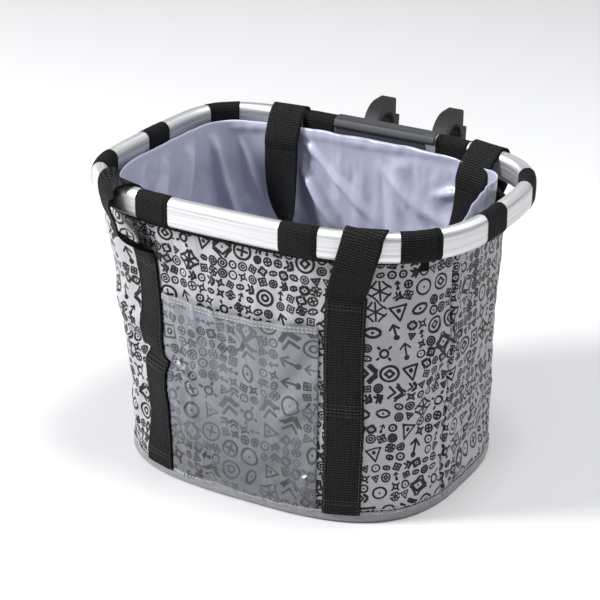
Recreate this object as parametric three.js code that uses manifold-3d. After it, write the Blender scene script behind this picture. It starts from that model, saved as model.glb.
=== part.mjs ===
// Handlebar basket: a fabric bag hung by webbing tabs from an oval aluminium rim, with two carrying
// handles, and a quick-release bracket that clamps onto a bicycle's handlebar.
// Millimetres. +X along the handlebar, +Y towards the handlebar, +Z up, origin on the floor under the
// middle of the bag's base. The front of the basket faces -Y.

import * as THREE from "three";
import { mergeVertices } from "three/addons/utils/BufferGeometryUtils.js";
import Module from "manifold-3d";

const wasm = await Module();
wasm.setup();

// ---------------------------------------------------------------- driving dimensions

const GAP = 0.3; // left between touching pieces

const RIM = {
  halfWidth: 160.5, // to the middle of the tube
  halfDepth: 119,
  corners: [2.8, 3.5, 4.9, 3.6], // superellipse powers, anticlockwise from the front right corner
  top: 244,
  height: 21,
  thickness: 10,
  wall: 1.4,
  endGap: 20, // between the tube's two ends, inside the coupling housing
};
RIM.middle = RIM.top - RIM.height / 2;
RIM.crown = RIM.top - RIM.thickness / 2; // centre of the rounded top edge

const BAG = {
  topHalfWidth: 149,
  topHalfDepth: 113.5,
  baseHalfWidth: 139,
  baseHalfDepth: 113.5,
  corners: [3, 3.2, 4.4, 3],
  lean: -5, // how far its top hangs off centre, along X
  hemTop: 216,
  hemHeight: 10,
  fabric: 1.2,
  layerGap: 0.9, // air between the fabric and its lining
  lining: 0.8,
};
BAG.panelTop = BAG.hemTop - BAG.hemHeight;

const PIPING = { radius: 2.2 };
const BASE = { fabric: 1, board: 2.5, lining: 0.8 };
const POCKET = { top: 162, binding: 5, fabric: 0.8, halfWidth: 67 };

const TAB = { width: 30, fabric: 1.4, slack: 0.5, tail: 2.8 };
// The middle of each tab, in millimetres along the rim, anticlockwise from the middle of its front.
const TAB_PLACES = {
  tab_front_middle: 54.5,
  tab_front_right: 144,
  tab_right_front: 219,
  tab_right_rear: 302,
  tab_rear_right: 408.5,
  tab_rear_left: 534,
  tab_left_rear: 625.5,
  tab_left_middle: 714,
  tab_left_front: 795,
  tab_front_left: 898,
};

const STRAP = { width: 30.5, thickness: 1.5, clear: 7.8 };
const SEWN = { top: 190, off: 0.5 }; // the straps are sewn to the wall up to this height
const HANDLE = { bottom: 122, start: 27 };
// Where each handle's ends are sewn, as x on the wall, and where they cross the rim, as millimetres along
// it. Its loop starts that far inside the rim line, and its bottom hangs further in by the drift.
const HANDLES = {
  front: { side: -1, sewnAt: [-83, 86], crossings: [861, 105], inside: [20.5, 18], drift: 17 },
  rear: { side: 1, sewnAt: [-95, 97], crossings: [565, 375], inside: [16, 22], drift: 15 },
};

const HOUSING = {
  halfWidth: 42,
  front: 111.5, // of its lower part; a rounded bar above stands further forward
  rear: 127,
  bottom: 220.5,
  top: 247,
  bar: { front: 108.5, bottom: 238, left: -42, right: 51 },
  plateFront: 121.5,
  plateHalfWidth: 30,
  plateBottom: 172,
};
const TONGUE = { neckHalf: 14, neckRear: 132, flangeHalf: 22, flangeRear: 136.5, bottom: 176, top: 236 };
const SCREW = { radius: 1.7, head: 3.2, headLength: 2, places: [-37, -27, 27, 37] };

const BAR = { y: 176, z: 221, radius: 12.7 }; // the handlebar that the clamps hold
const SHIM = { thickness: 1.5, width: 13 };
const ARM = { x: 32.5, width: 13, top: 23.5, rear: 17, round: 24, ear: 6 };
const BRACKET = { halfWidth: 40, front: 128.2, rear: 166, bottom: 168, top: 238, underBar: 204 };
BRACKET.barSide = BAR.y - BAR.radius - SHIM.thickness - 1; // how far back it reaches level with the bar
const JAW = { depth: 20, half: 24, seat: 9 };
const BOLT = { radius: 2.4, head: 4, headLength: 5, reach: 19, length: 16 };
const BUTTON = { halfWidth: 11, depth: 8, y: 151, proud: 9, travel: 5, height: 29 };
const CATCH = { front: 134.5, bottom: 184.6, thickness: 2.4, lip: 3.8, width: 8 };

// ---------------------------------------------------------------- materials

const finish = (color, roughness, metalness = 0) =>
  new THREE.MeshStandardMaterial({ color, roughness, metalness });

const aluminium = finish(0xd4d6da, 0.32, 1);
const webbing = finish(0x17171a, 0.9);
const printedFabric = finish(0x9c9ca2, 0.75);
const liningFabric = finish(0x9fa4bf, 0.5);
const pocketFabric = finish(0x8b8e9a, 0.4);
const silverBinding = finish(0x8d8e92, 0.5);
const hemTape = finish(0x101012, 0.9);
const boardPlastic = finish(0x2a2a2c, 0.6);
const greyPlastic = finish(0x35363b, 0.6);
const blackPlastic = finish(0x1b1b1e, 0.55);
const redPlastic = finish(0x8c1f1d, 0.45);
const rubber = finish(0x101011, 0.95);
const steel = finish(0x8f9296, 0.35, 1);

const basket = new THREE.Group();

function add(name, geometry, material, parent = basket) {
  const mesh = new THREE.Mesh(geometry, material);
  mesh.name = name;
  parent.add(mesh);
  return mesh;
}

// ---------------------------------------------------------------- outlines seen from above

const cornerPower = ([frontRight, rearRight, rearLeft, frontLeft], x, y) => {
  if (y < 0) return x < 0 ? frontLeft : frontRight;
  return x < 0 ? rearLeft : rearRight;
};

// A superellipse outline whose four corners may have different powers.
class Outline extends THREE.Curve {
  constructor(halfWidth, halfDepth, corners) {
    super();
    Object.assign(this, { halfWidth, halfDepth, corners });
    this.arcLengthDivisions = 720;
  }

  getPoint(t, target = new THREE.Vector3()) {
    const angle = 2 * Math.PI * t - Math.PI / 2;
    const c = Math.cos(angle);
    const s = Math.sin(angle);
    const power = cornerPower(this.corners, c, s);
    const r = (Math.abs(c) ** power + Math.abs(s) ** power) ** (-1 / power);
    return target.set(this.halfWidth * r * c, this.halfDepth * r * s, 0);
  }
}

// The part of a curve between two distances along it.
class Stretch extends THREE.Curve {
  constructor(curve, from, to) {
    super();
    Object.assign(this, { curve, from, to });
  }

  getPoint(t, target = new THREE.Vector3()) {
    const along = (this.from + (this.to - this.from) * t) / this.curve.getLength();
    return this.curve.getPointAt(((along % 1) + 1) % 1, target);
  }
}

const rimLine = new Outline(RIM.halfWidth, RIM.halfDepth, RIM.corners);
const rimLength = rimLine.getLength();
const rimRear = rimLine.getLengths()[rimLine.arcLengthDivisions / 2]; // the middle of its rear

// A point on the bag's wall: turn is 0 at the middle of the front and grows anticlockwise to 1,
// inward is the depth under the outer face.
function wallPoint(turn, z, inward) {
  const rise = z / BAG.hemTop;
  const halfWidth = THREE.MathUtils.lerp(BAG.baseHalfWidth, BAG.topHalfWidth, rise) - inward;
  const halfDepth = THREE.MathUtils.lerp(BAG.baseHalfDepth, BAG.topHalfDepth, rise) - inward;
  const outline = new Outline(halfWidth, halfDepth, BAG.corners);
  const point = outline.getPoint(turn).setZ(z);
  point.x += BAG.lean * rise;
  return point;
}

// The turn at which the wall's section passes the given x on its front or rear side.
function turnAt(x, z, rear = false) {
  let [left, right] = rear ? [0.75, 0.25] : [-0.25, 0.25];
  for (let i = 0; i < 40; i++) {
    const middle = (left + right) / 2;
    if (wallPoint((middle + 1) % 1, z, 0).x < x) left = middle;
    else right = middle;
  }
  return left;
}

// The outward direction of a curve in the XY plane, at a distance along it.
function outwardAt(curve, distance) {
  const step = 0.5;
  const a = new Stretch(curve, distance - step, distance + step);
  const tangent = a.getPoint(1).sub(a.getPoint(0)).normalize();
  return new THREE.Vector3(tangent.y, -tangent.x, 0);
}

// ---------------------------------------------------------------- shaping helpers

const remap = (geometry, place) => {
  const position = geometry.getAttribute("position");
  const v = new THREE.Vector3();
  for (let i = 0; i < position.count; i++) {
    v.fromBufferAttribute(position, i);
    place(v);
    position.setXYZ(i, v.x, v.y, v.z);
  }
  return geometry;
};

// A piece of cloth wall between two turns and two heights.
function wallPiece({ from, to, bottom, top, inward, thickness, steps }) {
  const box = new THREE.BoxGeometry(to - from, thickness, top - bottom, steps, 1, 1);
  box.translate((from + to) / 2, inward + thickness / 2, (bottom + top) / 2);
  return remap(box, (v) => v.copy(wallPoint(v.x, v.z, v.y)));
}

// A closed ring round the bag: section is a list of [inward, z], and the ring follows the wall.
function wallRing(section, steps) {
  const radius = 100;
  const points = [...section, section[0]].map(([inward, z]) => new THREE.Vector2(radius - inward, z));
  const ring = new THREE.LatheGeometry(points, steps);
  return remap(ring, (v) => {
    const turn = Math.atan2(v.x, v.z) / (2 * Math.PI);
    v.copy(wallPoint((turn + 1) % 1, v.y, radius - Math.hypot(v.x, v.z)));
  });
}

// A flat plate that fills the bag's outline, drawn in by inset.
function floorPlate(inset, bottom, thickness, steps) {
  const points = [];
  for (let i = 0; i < steps; i++) {
    const p = wallPoint(i / steps, 0, inset);
    points.push(new THREE.Vector2(p.x, p.y));
  }
  const settings = { depth: thickness, bevelEnabled: false };
  const plate = new THREE.ExtrudeGeometry(new THREE.Shape(points), settings);
  return plate.translate(0, 0, bottom);
}

// A section swept along the rim. Section points are (outward, up), and ExtrudeGeometry's own frame on a
// flat anticlockwise path has x down and y inward.
function sweepOnRim(section, from, to, steps, middle, curveSegments = 3) {
  const geometry = new THREE.ExtrudeGeometry(section, {
    steps,
    curveSegments,
    bevelEnabled: false,
    extrudePath: new Stretch(rimLine, from, to),
  });
  return geometry.translate(0, 0, middle);
}

// An upright flat oval in the sweep's frame (x down, y inward).
function ovalPath(path, halfThickness, halfHeight, clockwise = false) {
  const reach = halfHeight - halfThickness;
  path.absarc(-reach, 0, halfThickness, Math.PI / 2, -Math.PI / 2 + 2 * Math.PI, false);
  path.absarc(reach, 0, halfThickness, -Math.PI / 2, Math.PI / 2, false);
  path.closePath();
  return path;
}

// A flat webbing ribbon: stations are {at, across} along its length, and its ends are cut along across.
function ribbon(stations, width, thickness, steps) {
  const line = new THREE.CatmullRomCurve3(stations.map((s) => s.at), false, "centripetal");
  const acrossAt = (t) => {
    const place = t * (stations.length - 1);
    const i = Math.min(Math.floor(place), stations.length - 2);
    return stations[i].across.clone().lerp(stations[i + 1].across, place - i).normalize();
  };
  const box = new THREE.BoxGeometry(width, thickness, 1, 1, 1, steps);
  box.translate(0, 0, 0.5);
  return remap(box, (v) => {
    const tangent = line.getTangent(v.z);
    const across = acrossAt(v.z);
    const square = Math.min(1, 3 * v.z, 3 * (1 - v.z));
    across.addScaledVector(tangent, -square * across.dot(tangent)).normalize();
    const normal = new THREE.Vector3().crossVectors(tangent, across).normalize();
    const centre = line.getPoint(v.z);
    v.copy(centre.addScaledVector(across, v.x).addScaledVector(normal, v.y));
  });
}

const toSolid = (geometry) => {
  const bare = geometry.clone();
  for (const name of Object.keys(bare.attributes)) if (name !== "position") bare.deleteAttribute(name);
  const merged = mergeVertices(bare, 1e-3);
  return new wasm.Manifold(
    new wasm.Mesh({
      numProp: 3,
      vertProperties: merged.getAttribute("position").array,
      triVerts: new Uint32Array(merged.index.array),
    }),
  );
};

const toGeometry = (solid) => {
  const { vertProperties, triVerts, numProp } = solid.getMesh();
  const points = new Float32Array((vertProperties.length / numProp) * 3);
  for (let i = 0; i < points.length / 3; i++) {
    points.set(vertProperties.subarray(i * numProp, i * numProp + 3), i * 3);
  }
  return new THREE.BufferGeometry()
    .setAttribute("position", new THREE.BufferAttribute(points, 3))
    .setIndex(new THREE.BufferAttribute(triVerts, 1));
};

const cut = (body, ...tools) =>
  toGeometry(tools.reduce((solid, tool) => solid.subtract(toSolid(tool)), toSolid(body)));
const join = (...bodies) =>
  toGeometry(bodies.slice(1).reduce((solid, body) => solid.add(toSolid(body)), toSolid(bodies[0])));

const block = (x0, x1, y0, y1, z0, z1) =>
  new THREE.BoxGeometry(x1 - x0, y1 - y0, z1 - z0).translate((x0 + x1) / 2, (y0 + y1) / 2, (z0 + z1) / 2);

const rod = (radius, length, sides = 16) => new THREE.CylinderGeometry(radius, radius, length, sides);
const rodAlongX = (radius, length, sides) => rod(radius, length, sides).rotateZ(Math.PI / 2);
const rodAlongZ = (radius, length, sides) => rod(radius, length, sides).rotateX(Math.PI / 2);

// A profile drawn in the YZ plane and given a thickness along X, centred on x.
function slab(shape, x, width, curveSegments = 6) {
  const geometry = new THREE.ExtrudeGeometry(shape, { depth: width, bevelEnabled: false, curveSegments });
  return geometry.translate(0, 0, -width / 2).applyMatrix4(
    new THREE.Matrix4().makeBasis(
      new THREE.Vector3(0, 1, 0),
      new THREE.Vector3(0, 0, 1),
      new THREE.Vector3(1, 0, 0),
    ),
  ).translate(x, 0, 0);
}

const shapeOf = (points) => new THREE.Shape(points.map(([a, b]) => new THREE.Vector2(a, b)));

// ---------------------------------------------------------------- rim and its coupling

const screwHoles = (radius) =>
  SCREW.places.map((x) => rod(radius, 60).translate(x, RIM.halfDepth, RIM.middle));

function rimFrame() {
  const section = ovalPath(new THREE.Shape(), RIM.thickness / 2, RIM.height / 2);
  section.holes.push(ovalPath(new THREE.Path(), RIM.thickness / 2 - RIM.wall, RIM.height / 2 - RIM.wall));
  const start = rimRear + RIM.endGap / 2;
  const tube = sweepOnRim(section, start, start + rimLength - RIM.endGap, 84, RIM.middle);
  return cut(tube, ...screwHoles(SCREW.radius + GAP));
}

function rimJoiner() {
  const room = RIM.wall + 0.5;
  const section = ovalPath(new THREE.Shape(), RIM.thickness / 2 - room, RIM.height / 2 - room);
  const bar = sweepOnRim(section, rimRear - 39, rimRear + 39, 4, RIM.middle);
  return cut(bar, ...screwHoles(SCREW.radius + GAP));
}

// The channel that the rim tube passes through.
function rimChannel() {
  const section = ovalPath(new THREE.Shape(), RIM.thickness / 2 + GAP, RIM.height / 2 + GAP);
  return sweepOnRim(section, rimRear - 60, rimRear + 60, 10, RIM.middle);
}

function housingFront() {
  const split = RIM.halfDepth - GAP / 2;
  const { front, bottom, top, halfWidth, bar } = HOUSING;
  const profile = shapeOf([
    [split, bottom], [split, top - 1], [front, top - 1], [front, bottom + 2.5], [front + 2.5, bottom],
  ]);
  const barProfile = shapeOf([
    [split, bar.bottom], [split, top], [bar.front + 6, top], [bar.front + 2, top - 2], [bar.front, top - 6],
    [bar.front, bar.bottom + 2], [bar.front + 1.5, bar.bottom],
  ]);
  const holeEnd = front + 4;
  const blind = SCREW.places.map((x) =>
    rod(SCREW.radius + GAP, split - holeEnd + 1).translate(x, (split + 1 + holeEnd) / 2, RIM.middle),
  );
  const upper = slab(barProfile, (bar.left + bar.right) / 2, bar.right - bar.left);
  return cut(join(slab(profile, 0, 2 * halfWidth), upper), rimChannel(), ...blind);
}

function housingRear() {
  const split = RIM.halfDepth + GAP / 2;
  const { rear, bottom, top, halfWidth, plateFront, plateHalfWidth, plateBottom } = HOUSING;
  const profile = shapeOf([
    [split, bottom], [rear - 2, bottom], [rear, bottom + 2], [rear, top - 5], [rear - 4, top - 1],
    [split, top],
  ]);
  const { neckHalf, neckRear, flangeHalf, flangeRear } = TONGUE;
  const plate = block(-plateHalfWidth, plateHalfWidth, plateFront, rear, plateBottom, top - 6);
  const neck = block(-neckHalf, neckHalf, rear - 1, neckRear + 1, TONGUE.bottom, TONGUE.top);
  const flange = block(-flangeHalf, flangeHalf, neckRear, flangeRear, TONGUE.bottom, TONGUE.top);
  const catchNotch = block(
    -CATCH.width / 2 - 1, CATCH.width / 2 + 1, CATCH.front - 0.5, flangeRear + 1,
    CATCH.bottom - 0.6, CATCH.bottom + CATCH.lip + 0.8,
  );
  const heads = SCREW.places.map((x) =>
    rod(SCREW.head + GAP, 40).translate(x, rear - SCREW.headLength + 20 - GAP, RIM.middle),
  );
  const body = join(slab(profile, 0, 2 * halfWidth), plate, neck, flange);
  return cut(body, rimChannel(), catchNotch, ...screwHoles(SCREW.radius + GAP), ...heads);
}

function housingScrew(x) {
  const shankEnd = HOUSING.front + 5;
  const headFront = HOUSING.rear - SCREW.headLength;
  const shank = rod(SCREW.radius, headFront - shankEnd + 1, 10);
  shank.translate(x, (headFront + 1 + shankEnd) / 2, RIM.middle);
  const head = rod(SCREW.head, SCREW.headLength, 12);
  head.translate(x, headFront + SCREW.headLength / 2, RIM.middle);
  const slot = block(-0.6, 0.6, -0.9, 1, -2.2, 2.2).translate(x, HOUSING.rear, RIM.middle);
  return cut(join(shank, head), slot);
}

add("rim_frame", rimFrame(), aluminium);
add("rim_joiner", rimJoiner(), steel);
add("coupling_housing_front", housingFront(), greyPlastic);
add("coupling_housing_rear", housingRear(), greyPlastic);
SCREW.places.forEach((x, i) => add(`housing_screw_${i + 1}`, housingScrew(x), steel));

// ---------------------------------------------------------------- webbing tabs that hang the bag

// A tab wraps the tube, and its two sewn ends form a tail that reaches down to the hem.
function hangingTab(distance) {
  const half = RIM.height / 2;
  const inner = RIM.thickness / 2 + TAB.slack;
  const outer = inner + TAB.fabric;
  const reach = half + TAB.slack - inner;
  const at = new Stretch(rimLine, 0, distance).getPoint(1);
  const outward = outwardAt(rimLine, distance);
  const tailBottom = RIM.middle - BAG.hemTop - GAP;
  let inset = 0;
  while (insideWall(at.clone().addScaledVector(outward, -inset)) === false) inset += 0.25;
  inset += TAB.tail / 2;
  const side = TAB.tail / 2;
  const bend = Math.asin(side / outer);
  const shape = new THREE.Shape();
  shape.absarc(-reach, 0, outer, Math.PI / 2, 1.5 * Math.PI, false);
  shape.absarc(reach, 0, outer, -Math.PI / 2, -bend, false);
  shape.lineTo(tailBottom, inset - side);
  shape.lineTo(tailBottom, inset + side);
  shape.absarc(reach, 0, outer, bend, Math.PI / 2, false);
  shape.closePath();
  shape.holes.push(ovalPath(new THREE.Path(), inner, half + TAB.slack));
  return sweepOnRim(shape, distance - TAB.width / 2, distance + TAB.width / 2, 3, RIM.middle);
}

function insideWall(point) {
  const x = (point.x - BAG.lean) / BAG.topHalfWidth;
  const y = point.y / BAG.topHalfDepth;
  const power = cornerPower(BAG.corners, x, y);
  return Math.abs(x) ** power + Math.abs(y) ** power < 1;
}

for (const [name, distance] of Object.entries(TAB_PLACES)) add(name, hangingTab(distance), webbing);

// ---------------------------------------------------------------- bag

const SIDE_SEAM = { front: 0.2, rear: 0.342 }; // turns of the right-hand corner seams
const panelBottom = 2 * PIPING.radius + GAP;

function panel(from, to, steps) {
  const seam = 0.0004;
  return wallPiece({
    from: from + seam,
    to: to - seam,
    bottom: panelBottom,
    top: BAG.panelTop - GAP,
    inward: 0,
    thickness: BAG.fabric,
    steps,
  });
}

add("front_panel", panel(-SIDE_SEAM.front, SIDE_SEAM.front, 28), printedFabric);
add("right_side_panel", panel(SIDE_SEAM.front, SIDE_SEAM.rear, 10), printedFabric);
add("back_panel", panel(SIDE_SEAM.rear, 1 - SIDE_SEAM.rear, 20), printedFabric);
add("left_side_panel", panel(1 - SIDE_SEAM.rear, 1 - SIDE_SEAM.front, 10), printedFabric);

const liningStart = BAG.fabric + BAG.layerGap;
const liningEnd = liningStart + BAG.lining;
const hemOut = -0.3;
const hemIn = liningEnd + 0.3;

// A ring of rectangular section between two depths and two heights.
const band = (outer, inner, bottom, top) =>
  wallRing([[inner, bottom], [outer, bottom], [outer, top], [inner, top]], 60);

add("lining_wall", band(liningStart, liningEnd, panelBottom, BAG.panelTop - GAP), liningFabric);
add("top_hem", band(hemOut, hemIn, BAG.panelTop, BAG.hemTop), hemTape);

const pipingSection = [];
for (let i = 0; i < 8; i++) {
  const angle = (-2 * Math.PI * (i + 0.5)) / 8;
  const r = PIPING.radius / Math.cos(Math.PI / 8);
  pipingSection.push([PIPING.radius + r * Math.cos(angle), PIPING.radius + r * Math.sin(angle)]);
}
add("base_piping", wallRing(pipingSection, 60), silverBinding);

const floorInset = 2 * PIPING.radius + GAP;
add("base_panel", floorPlate(floorInset, 0, BASE.fabric, 60), printedFabric);
add("base_board", floorPlate(floorInset + 2, BASE.fabric + GAP, BASE.board, 60), boardPlastic);
const liningFloorBottom = BASE.fabric + BASE.board + 2 * GAP;
add("lining_floor", floorPlate(floorInset + 0.5, liningFloorBottom, BASE.lining, 60), liningFabric);

// ---------------------------------------------------------------- front pocket

const pocketOut = -(GAP + POCKET.fabric);
const pocketEdges = [-POCKET.halfWidth, POCKET.halfWidth].map((x) => turnAt(x, POCKET.top / 2));
add(
  "front_pocket",
  wallPiece({
    from: pocketEdges[0],
    to: pocketEdges[1],
    bottom: panelBottom,
    top: POCKET.top - POCKET.binding - GAP,
    inward: pocketOut,
    thickness: POCKET.fabric,
    steps: 14,
  }),
  pocketFabric,
);
add(
  "pocket_binding",
  wallPiece({
    from: pocketEdges[0],
    to: pocketEdges[1],
    bottom: POCKET.top - POCKET.binding,
    top: POCKET.top,
    inward: pocketOut - 0.4,
    thickness: POCKET.fabric + 0.4,
    steps: 14,
  }),
  silverBinding,
);

// ---------------------------------------------------------------- carrying handles

const up = new THREE.Vector3(0, 0, 1);

function crossing(distance) {
  const at = new Stretch(rimLine, 0, distance).getPoint(1);
  const outward = outwardAt(rimLine, distance);
  const across = new THREE.Vector3().crossVectors(up, outward);
  return { at, outward, across };
}

const off = (place, outward, z) => place.at.clone().addScaledVector(place.outward, outward).setZ(z);

// The end of a handle, sewn flat on the outside of the wall from the base to just under the rim.
function handleLeg(x, rear) {
  const middle = (panelBottom + SEWN.top) / 2;
  return wallPiece({
    from: turnAt(x + (rear ? 1 : -1) * STRAP.width / 2, middle, rear),
    to: turnAt(x - (rear ? 1 : -1) * STRAP.width / 2, middle, rear),
    bottom: panelBottom,
    top: SEWN.top,
    inward: -SEWN.off - STRAP.thickness,
    thickness: STRAP.thickness,
    steps: 3,
  });
}

// The free stretch from the sewing, over the rim's crown, which changes shape as the handle swings.
function handleBend(place, x, rear, inside) {
  const r = STRAP.clear;
  const lift = SEWN.off + STRAP.thickness / 2 + 0.8;
  const sewn = (z) => wallPoint(turnAt(x, z, rear), z, -lift);
  const turn = turnAt(x, SEWN.top, rear);
  const along = wallPoint(turn + 0.002, SEWN.top, 0).sub(wallPoint(turn - 0.002, SEWN.top, 0)).normalize();
  const { across } = place;
  const halfway = along.clone().lerp(across, 0.6);
  return ribbon(
    [
      { at: sewn(SEWN.top + GAP), across: along },
      { at: sewn(SEWN.top + 8).lerp(off(place, r + 3, SEWN.top + 8), 0.25), across: along },
      { at: off(place, r + 3, RIM.crown - 18), across: halfway },
      { at: off(place, r + 0.8, RIM.crown - 3), across },
      { at: off(place, r * 0.75, RIM.crown + r * 0.72), across },
      { at: off(place, 0, RIM.crown + r + 0.4), across },
      { at: off(place, -r * 0.85, RIM.crown + r * 0.6), across },
      { at: off(place, Math.min(-inside + 5, -r), RIM.crown - 7), across },
      { at: off(place, -inside, RIM.crown - HANDLE.start + GAP), across },
    ],
    STRAP.width,
    STRAP.thickness,
    18,
  );
}

// The hanging loop: flat against the lining at both ends, and turned edge to the wall at the bottom.
function handleLoop(left, right, { side, inside, drift }) {
  const inwards = new THREE.Vector3(0, -side, 0);
  const top = RIM.crown - HANDLE.start;
  const ends = [left, right].map((place, i) => off(place, -inside[i], top));
  const depth = top - HANDLE.bottom;
  const count = 12;
  const stations = [];
  for (let i = 0; i <= count; i++) {
    const angle = (Math.PI * i) / count;
    const sine = Math.max(0, Math.sin(angle));
    const cosine = Math.cos(angle);
    const share = 0.5 - 0.5 * Math.sign(cosine) * Math.abs(cosine) ** 0.45;
    const at = ends[0].clone().lerp(ends[1], share);
    at.z = top - depth * sine ** 0.8;
    at.addScaledVector(inwards, drift * sine ** 0.5);
    const flat = cosine > 0 ? left.across : right.across.clone().negate();
    const edge = new THREE.Vector3(0, side, 0);
    stations.push({ at, across: flat.clone().lerp(edge, sine ** 0.7).normalize() });
  }
  return ribbon(stations, STRAP.width, STRAP.thickness, 30);
}

for (const [name, handle] of Object.entries(HANDLES)) {
  const { sewnAt, inside } = handle;
  const rear = handle.side > 0;
  const [left, right] = handle.crossings.map(crossing);
  add(`${name}_handle_leg_left`, handleLeg(sewnAt[0], rear), webbing);
  add(`${name}_handle_leg_right`, handleLeg(sewnAt[1], rear), webbing);
  add(`${name}_handle_bend_left`, handleBend(left, sewnAt[0], rear, inside[0]), webbing);
  add(`${name}_handle_bend_right`, handleBend(right, sewnAt[1], rear, inside[1]), webbing);
  add(`${name}_handle_loop`, handleLoop(left, right, handle), webbing);
}

// ---------------------------------------------------------------- handlebar bracket

const armPlaces = [["left", -ARM.x], ["right", ARM.x]];
const seatHeight = BAR.z - JAW.seat;
const boltHoles = (x, radius) =>
  [-BOLT.reach, BOLT.reach].map((y) =>
    rodAlongZ(radius, BOLT.length + 10).translate(x, BAR.y + y, seatHeight + BOLT.length / 2 - 5),
  );

// An arm over the bar, round in front and cut off square behind, with an ear for the rear bolt.
function clampArm(x) {
  const { top, rear, round, ear } = ARM;
  const crown = BAR.z + top;
  const centre = new THREE.Vector2(BAR.y + 3, crown - round);
  const split = BAR.z + GAP / 2;
  const shape = new THREE.Shape();
  shape.moveTo(centre.x - round, BAR.z - 14);
  shape.lineTo(centre.x - round, centre.y);
  shape.absarc(centre.x, centre.y, round, Math.PI, Math.PI / 2, true);
  shape.lineTo(BAR.y + rear - 2, crown);
  shape.lineTo(BAR.y + rear, crown - 2);
  shape.lineTo(BAR.y + rear, BAR.z + ear);
  shape.lineTo(BAR.y + JAW.half, BAR.z + ear);
  shape.lineTo(BAR.y + JAW.half, split);
  shape.lineTo(BAR.y - BAR.radius, split);
  shape.lineTo(BAR.y - BAR.radius, BAR.z - 14);
  shape.closePath();
  return slab(shape, x, ARM.width, 8);
}

function bracketBody() {
  const { halfWidth, front, rear, bottom, top, underBar, barSide } = BRACKET;
  const profile = shapeOf([
    [front, bottom + 4], [front, top - 2], [front + 2, top], [barSide - 8, BAR.z + 4], [barSide, BAR.z],
    [barSide, underBar], [rear, underBar - 6], [rear, bottom + 8], [rear - 6, bottom], [front + 4, bottom],
  ]);
  const { neckHalf, neckRear, flangeHalf, flangeRear } = TONGUE;
  const room = 0.5;
  const slot = TONGUE.bottom - room;
  const bore = BAR.radius + SHIM.thickness + GAP;
  const buttonTop = bottom - BUTTON.proud + BUTTON.height;
  const jawRoom = armPlaces.map(([, x]) => {
    const outer = x < 0 ? -halfWidth - 1 : halfWidth + 1;
    const inner = x < 0 ? x + ARM.width / 2 + GAP : x - ARM.width / 2 - GAP;
    const sides = [outer, inner].sort((a, b) => a - b);
    return block(...sides, BAR.y - JAW.half - GAP, rear + 1, bottom - 1, BAR.z - GAP / 2);
  });
  const body = cut(slab(profile, 0, 2 * halfWidth), ...jawRoom);
  const arms = armPlaces.map(([, x]) => clampArm(x));
  return cut(
    join(body, ...arms),
    ...jawRoom,
    rodAlongX(bore, 120, 28).translate(0, BAR.y, BAR.z),
    block(-neckHalf - room, neckHalf + room, front - 5, neckRear, slot, top + 5),
    block(-flangeHalf - room, flangeHalf + room, neckRear - room, flangeRear + room, slot, top + 5),
    block(
      -BUTTON.halfWidth - room, BUTTON.halfWidth + room,
      BUTTON.y - BUTTON.depth / 2 - room, BUTTON.y + BUTTON.depth / 2 + room,
      bottom - 5, buttonTop + BUTTON.travel + 8,
    ),
    block(
      -CATCH.width / 2 - room, CATCH.width / 2 + room, flangeRear, BUTTON.y,
      CATCH.bottom - room, CATCH.bottom + CATCH.lip + room,
    ),
    ...armPlaces.flatMap(([, x]) => boltHoles(x, BOLT.radius + GAP)),
  );
}

// The lower half of each clamp, bolted up against the arm.
function clampJaw(x) {
  const top = BAR.z - GAP / 2;
  const { half, depth } = JAW;
  const profile = shapeOf([
    [BAR.y - half, top], [BAR.y - half, top - 7], [BAR.y - 10, top - depth], [BAR.y + 10, top - depth],
    [BAR.y + half, top - 7], [BAR.y + half, top],
  ]);
  const body = slab(profile, x, ARM.width);
  const bore = rodAlongX(BAR.radius + SHIM.thickness + GAP, 40, 28).translate(x, BAR.y, BAR.z);
  const seats = [-1, 1].map((side) =>
    rodAlongZ(BOLT.head + GAP, 20).translate(x, BAR.y + side * BOLT.reach, seatHeight - 10),
  );
  return cut(body, bore, ...seats, ...boltHoles(x, BOLT.radius + GAP));
}

// A half liner that keeps the clamp from slipping and scratching the bar.
function gripShim(x, upper) {
  const sign = upper ? 1 : -1;
  const split = 1;
  const outer = rodAlongX(BAR.radius + SHIM.thickness, SHIM.width, 28).translate(x, BAR.y, BAR.z);
  const hollow = rodAlongX(BAR.radius, SHIM.width + 2, 28).translate(x, BAR.y, BAR.z);
  const away = block(-20, 20, -30, 30, -30, 30).translate(x, BAR.y, BAR.z - sign * (30 - split));
  return cut(outer, hollow, away);
}

function clampBolt(x, side) {
  const y = BAR.y + side * BOLT.reach;
  const { radius, head, headLength, length } = BOLT;
  const underHead = seatHeight - GAP;
  const shank = rodAlongZ(radius, length + 1, 12).translate(x, y, underHead + length / 2 - 0.5);
  const cap = rodAlongZ(head, headLength, 14).translate(x, y, underHead - headLength / 2);
  const socket = new THREE.CylinderGeometry(2.2, 2.2, 5, 6).rotateX(Math.PI / 2);
  socket.translate(x, y, underHead - headLength);
  return cut(join(shank, cap), socket);
}

add("bracket_body", bracketBody(), blackPlastic);
for (const [name, x] of armPlaces) {
  add(`clamp_jaw_${name}`, clampJaw(x), blackPlastic);
  add(`clamp_shim_${name}_upper`, gripShim(x, true), rubber);
  add(`clamp_shim_${name}_lower`, gripShim(x, false), rubber);
  add(`clamp_bolt_${name}_front`, clampBolt(x, -1), steel);
  add(`clamp_bolt_${name}_rear`, clampBolt(x, 1), steel);
}

// ---------------------------------------------------------------- quick release

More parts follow.
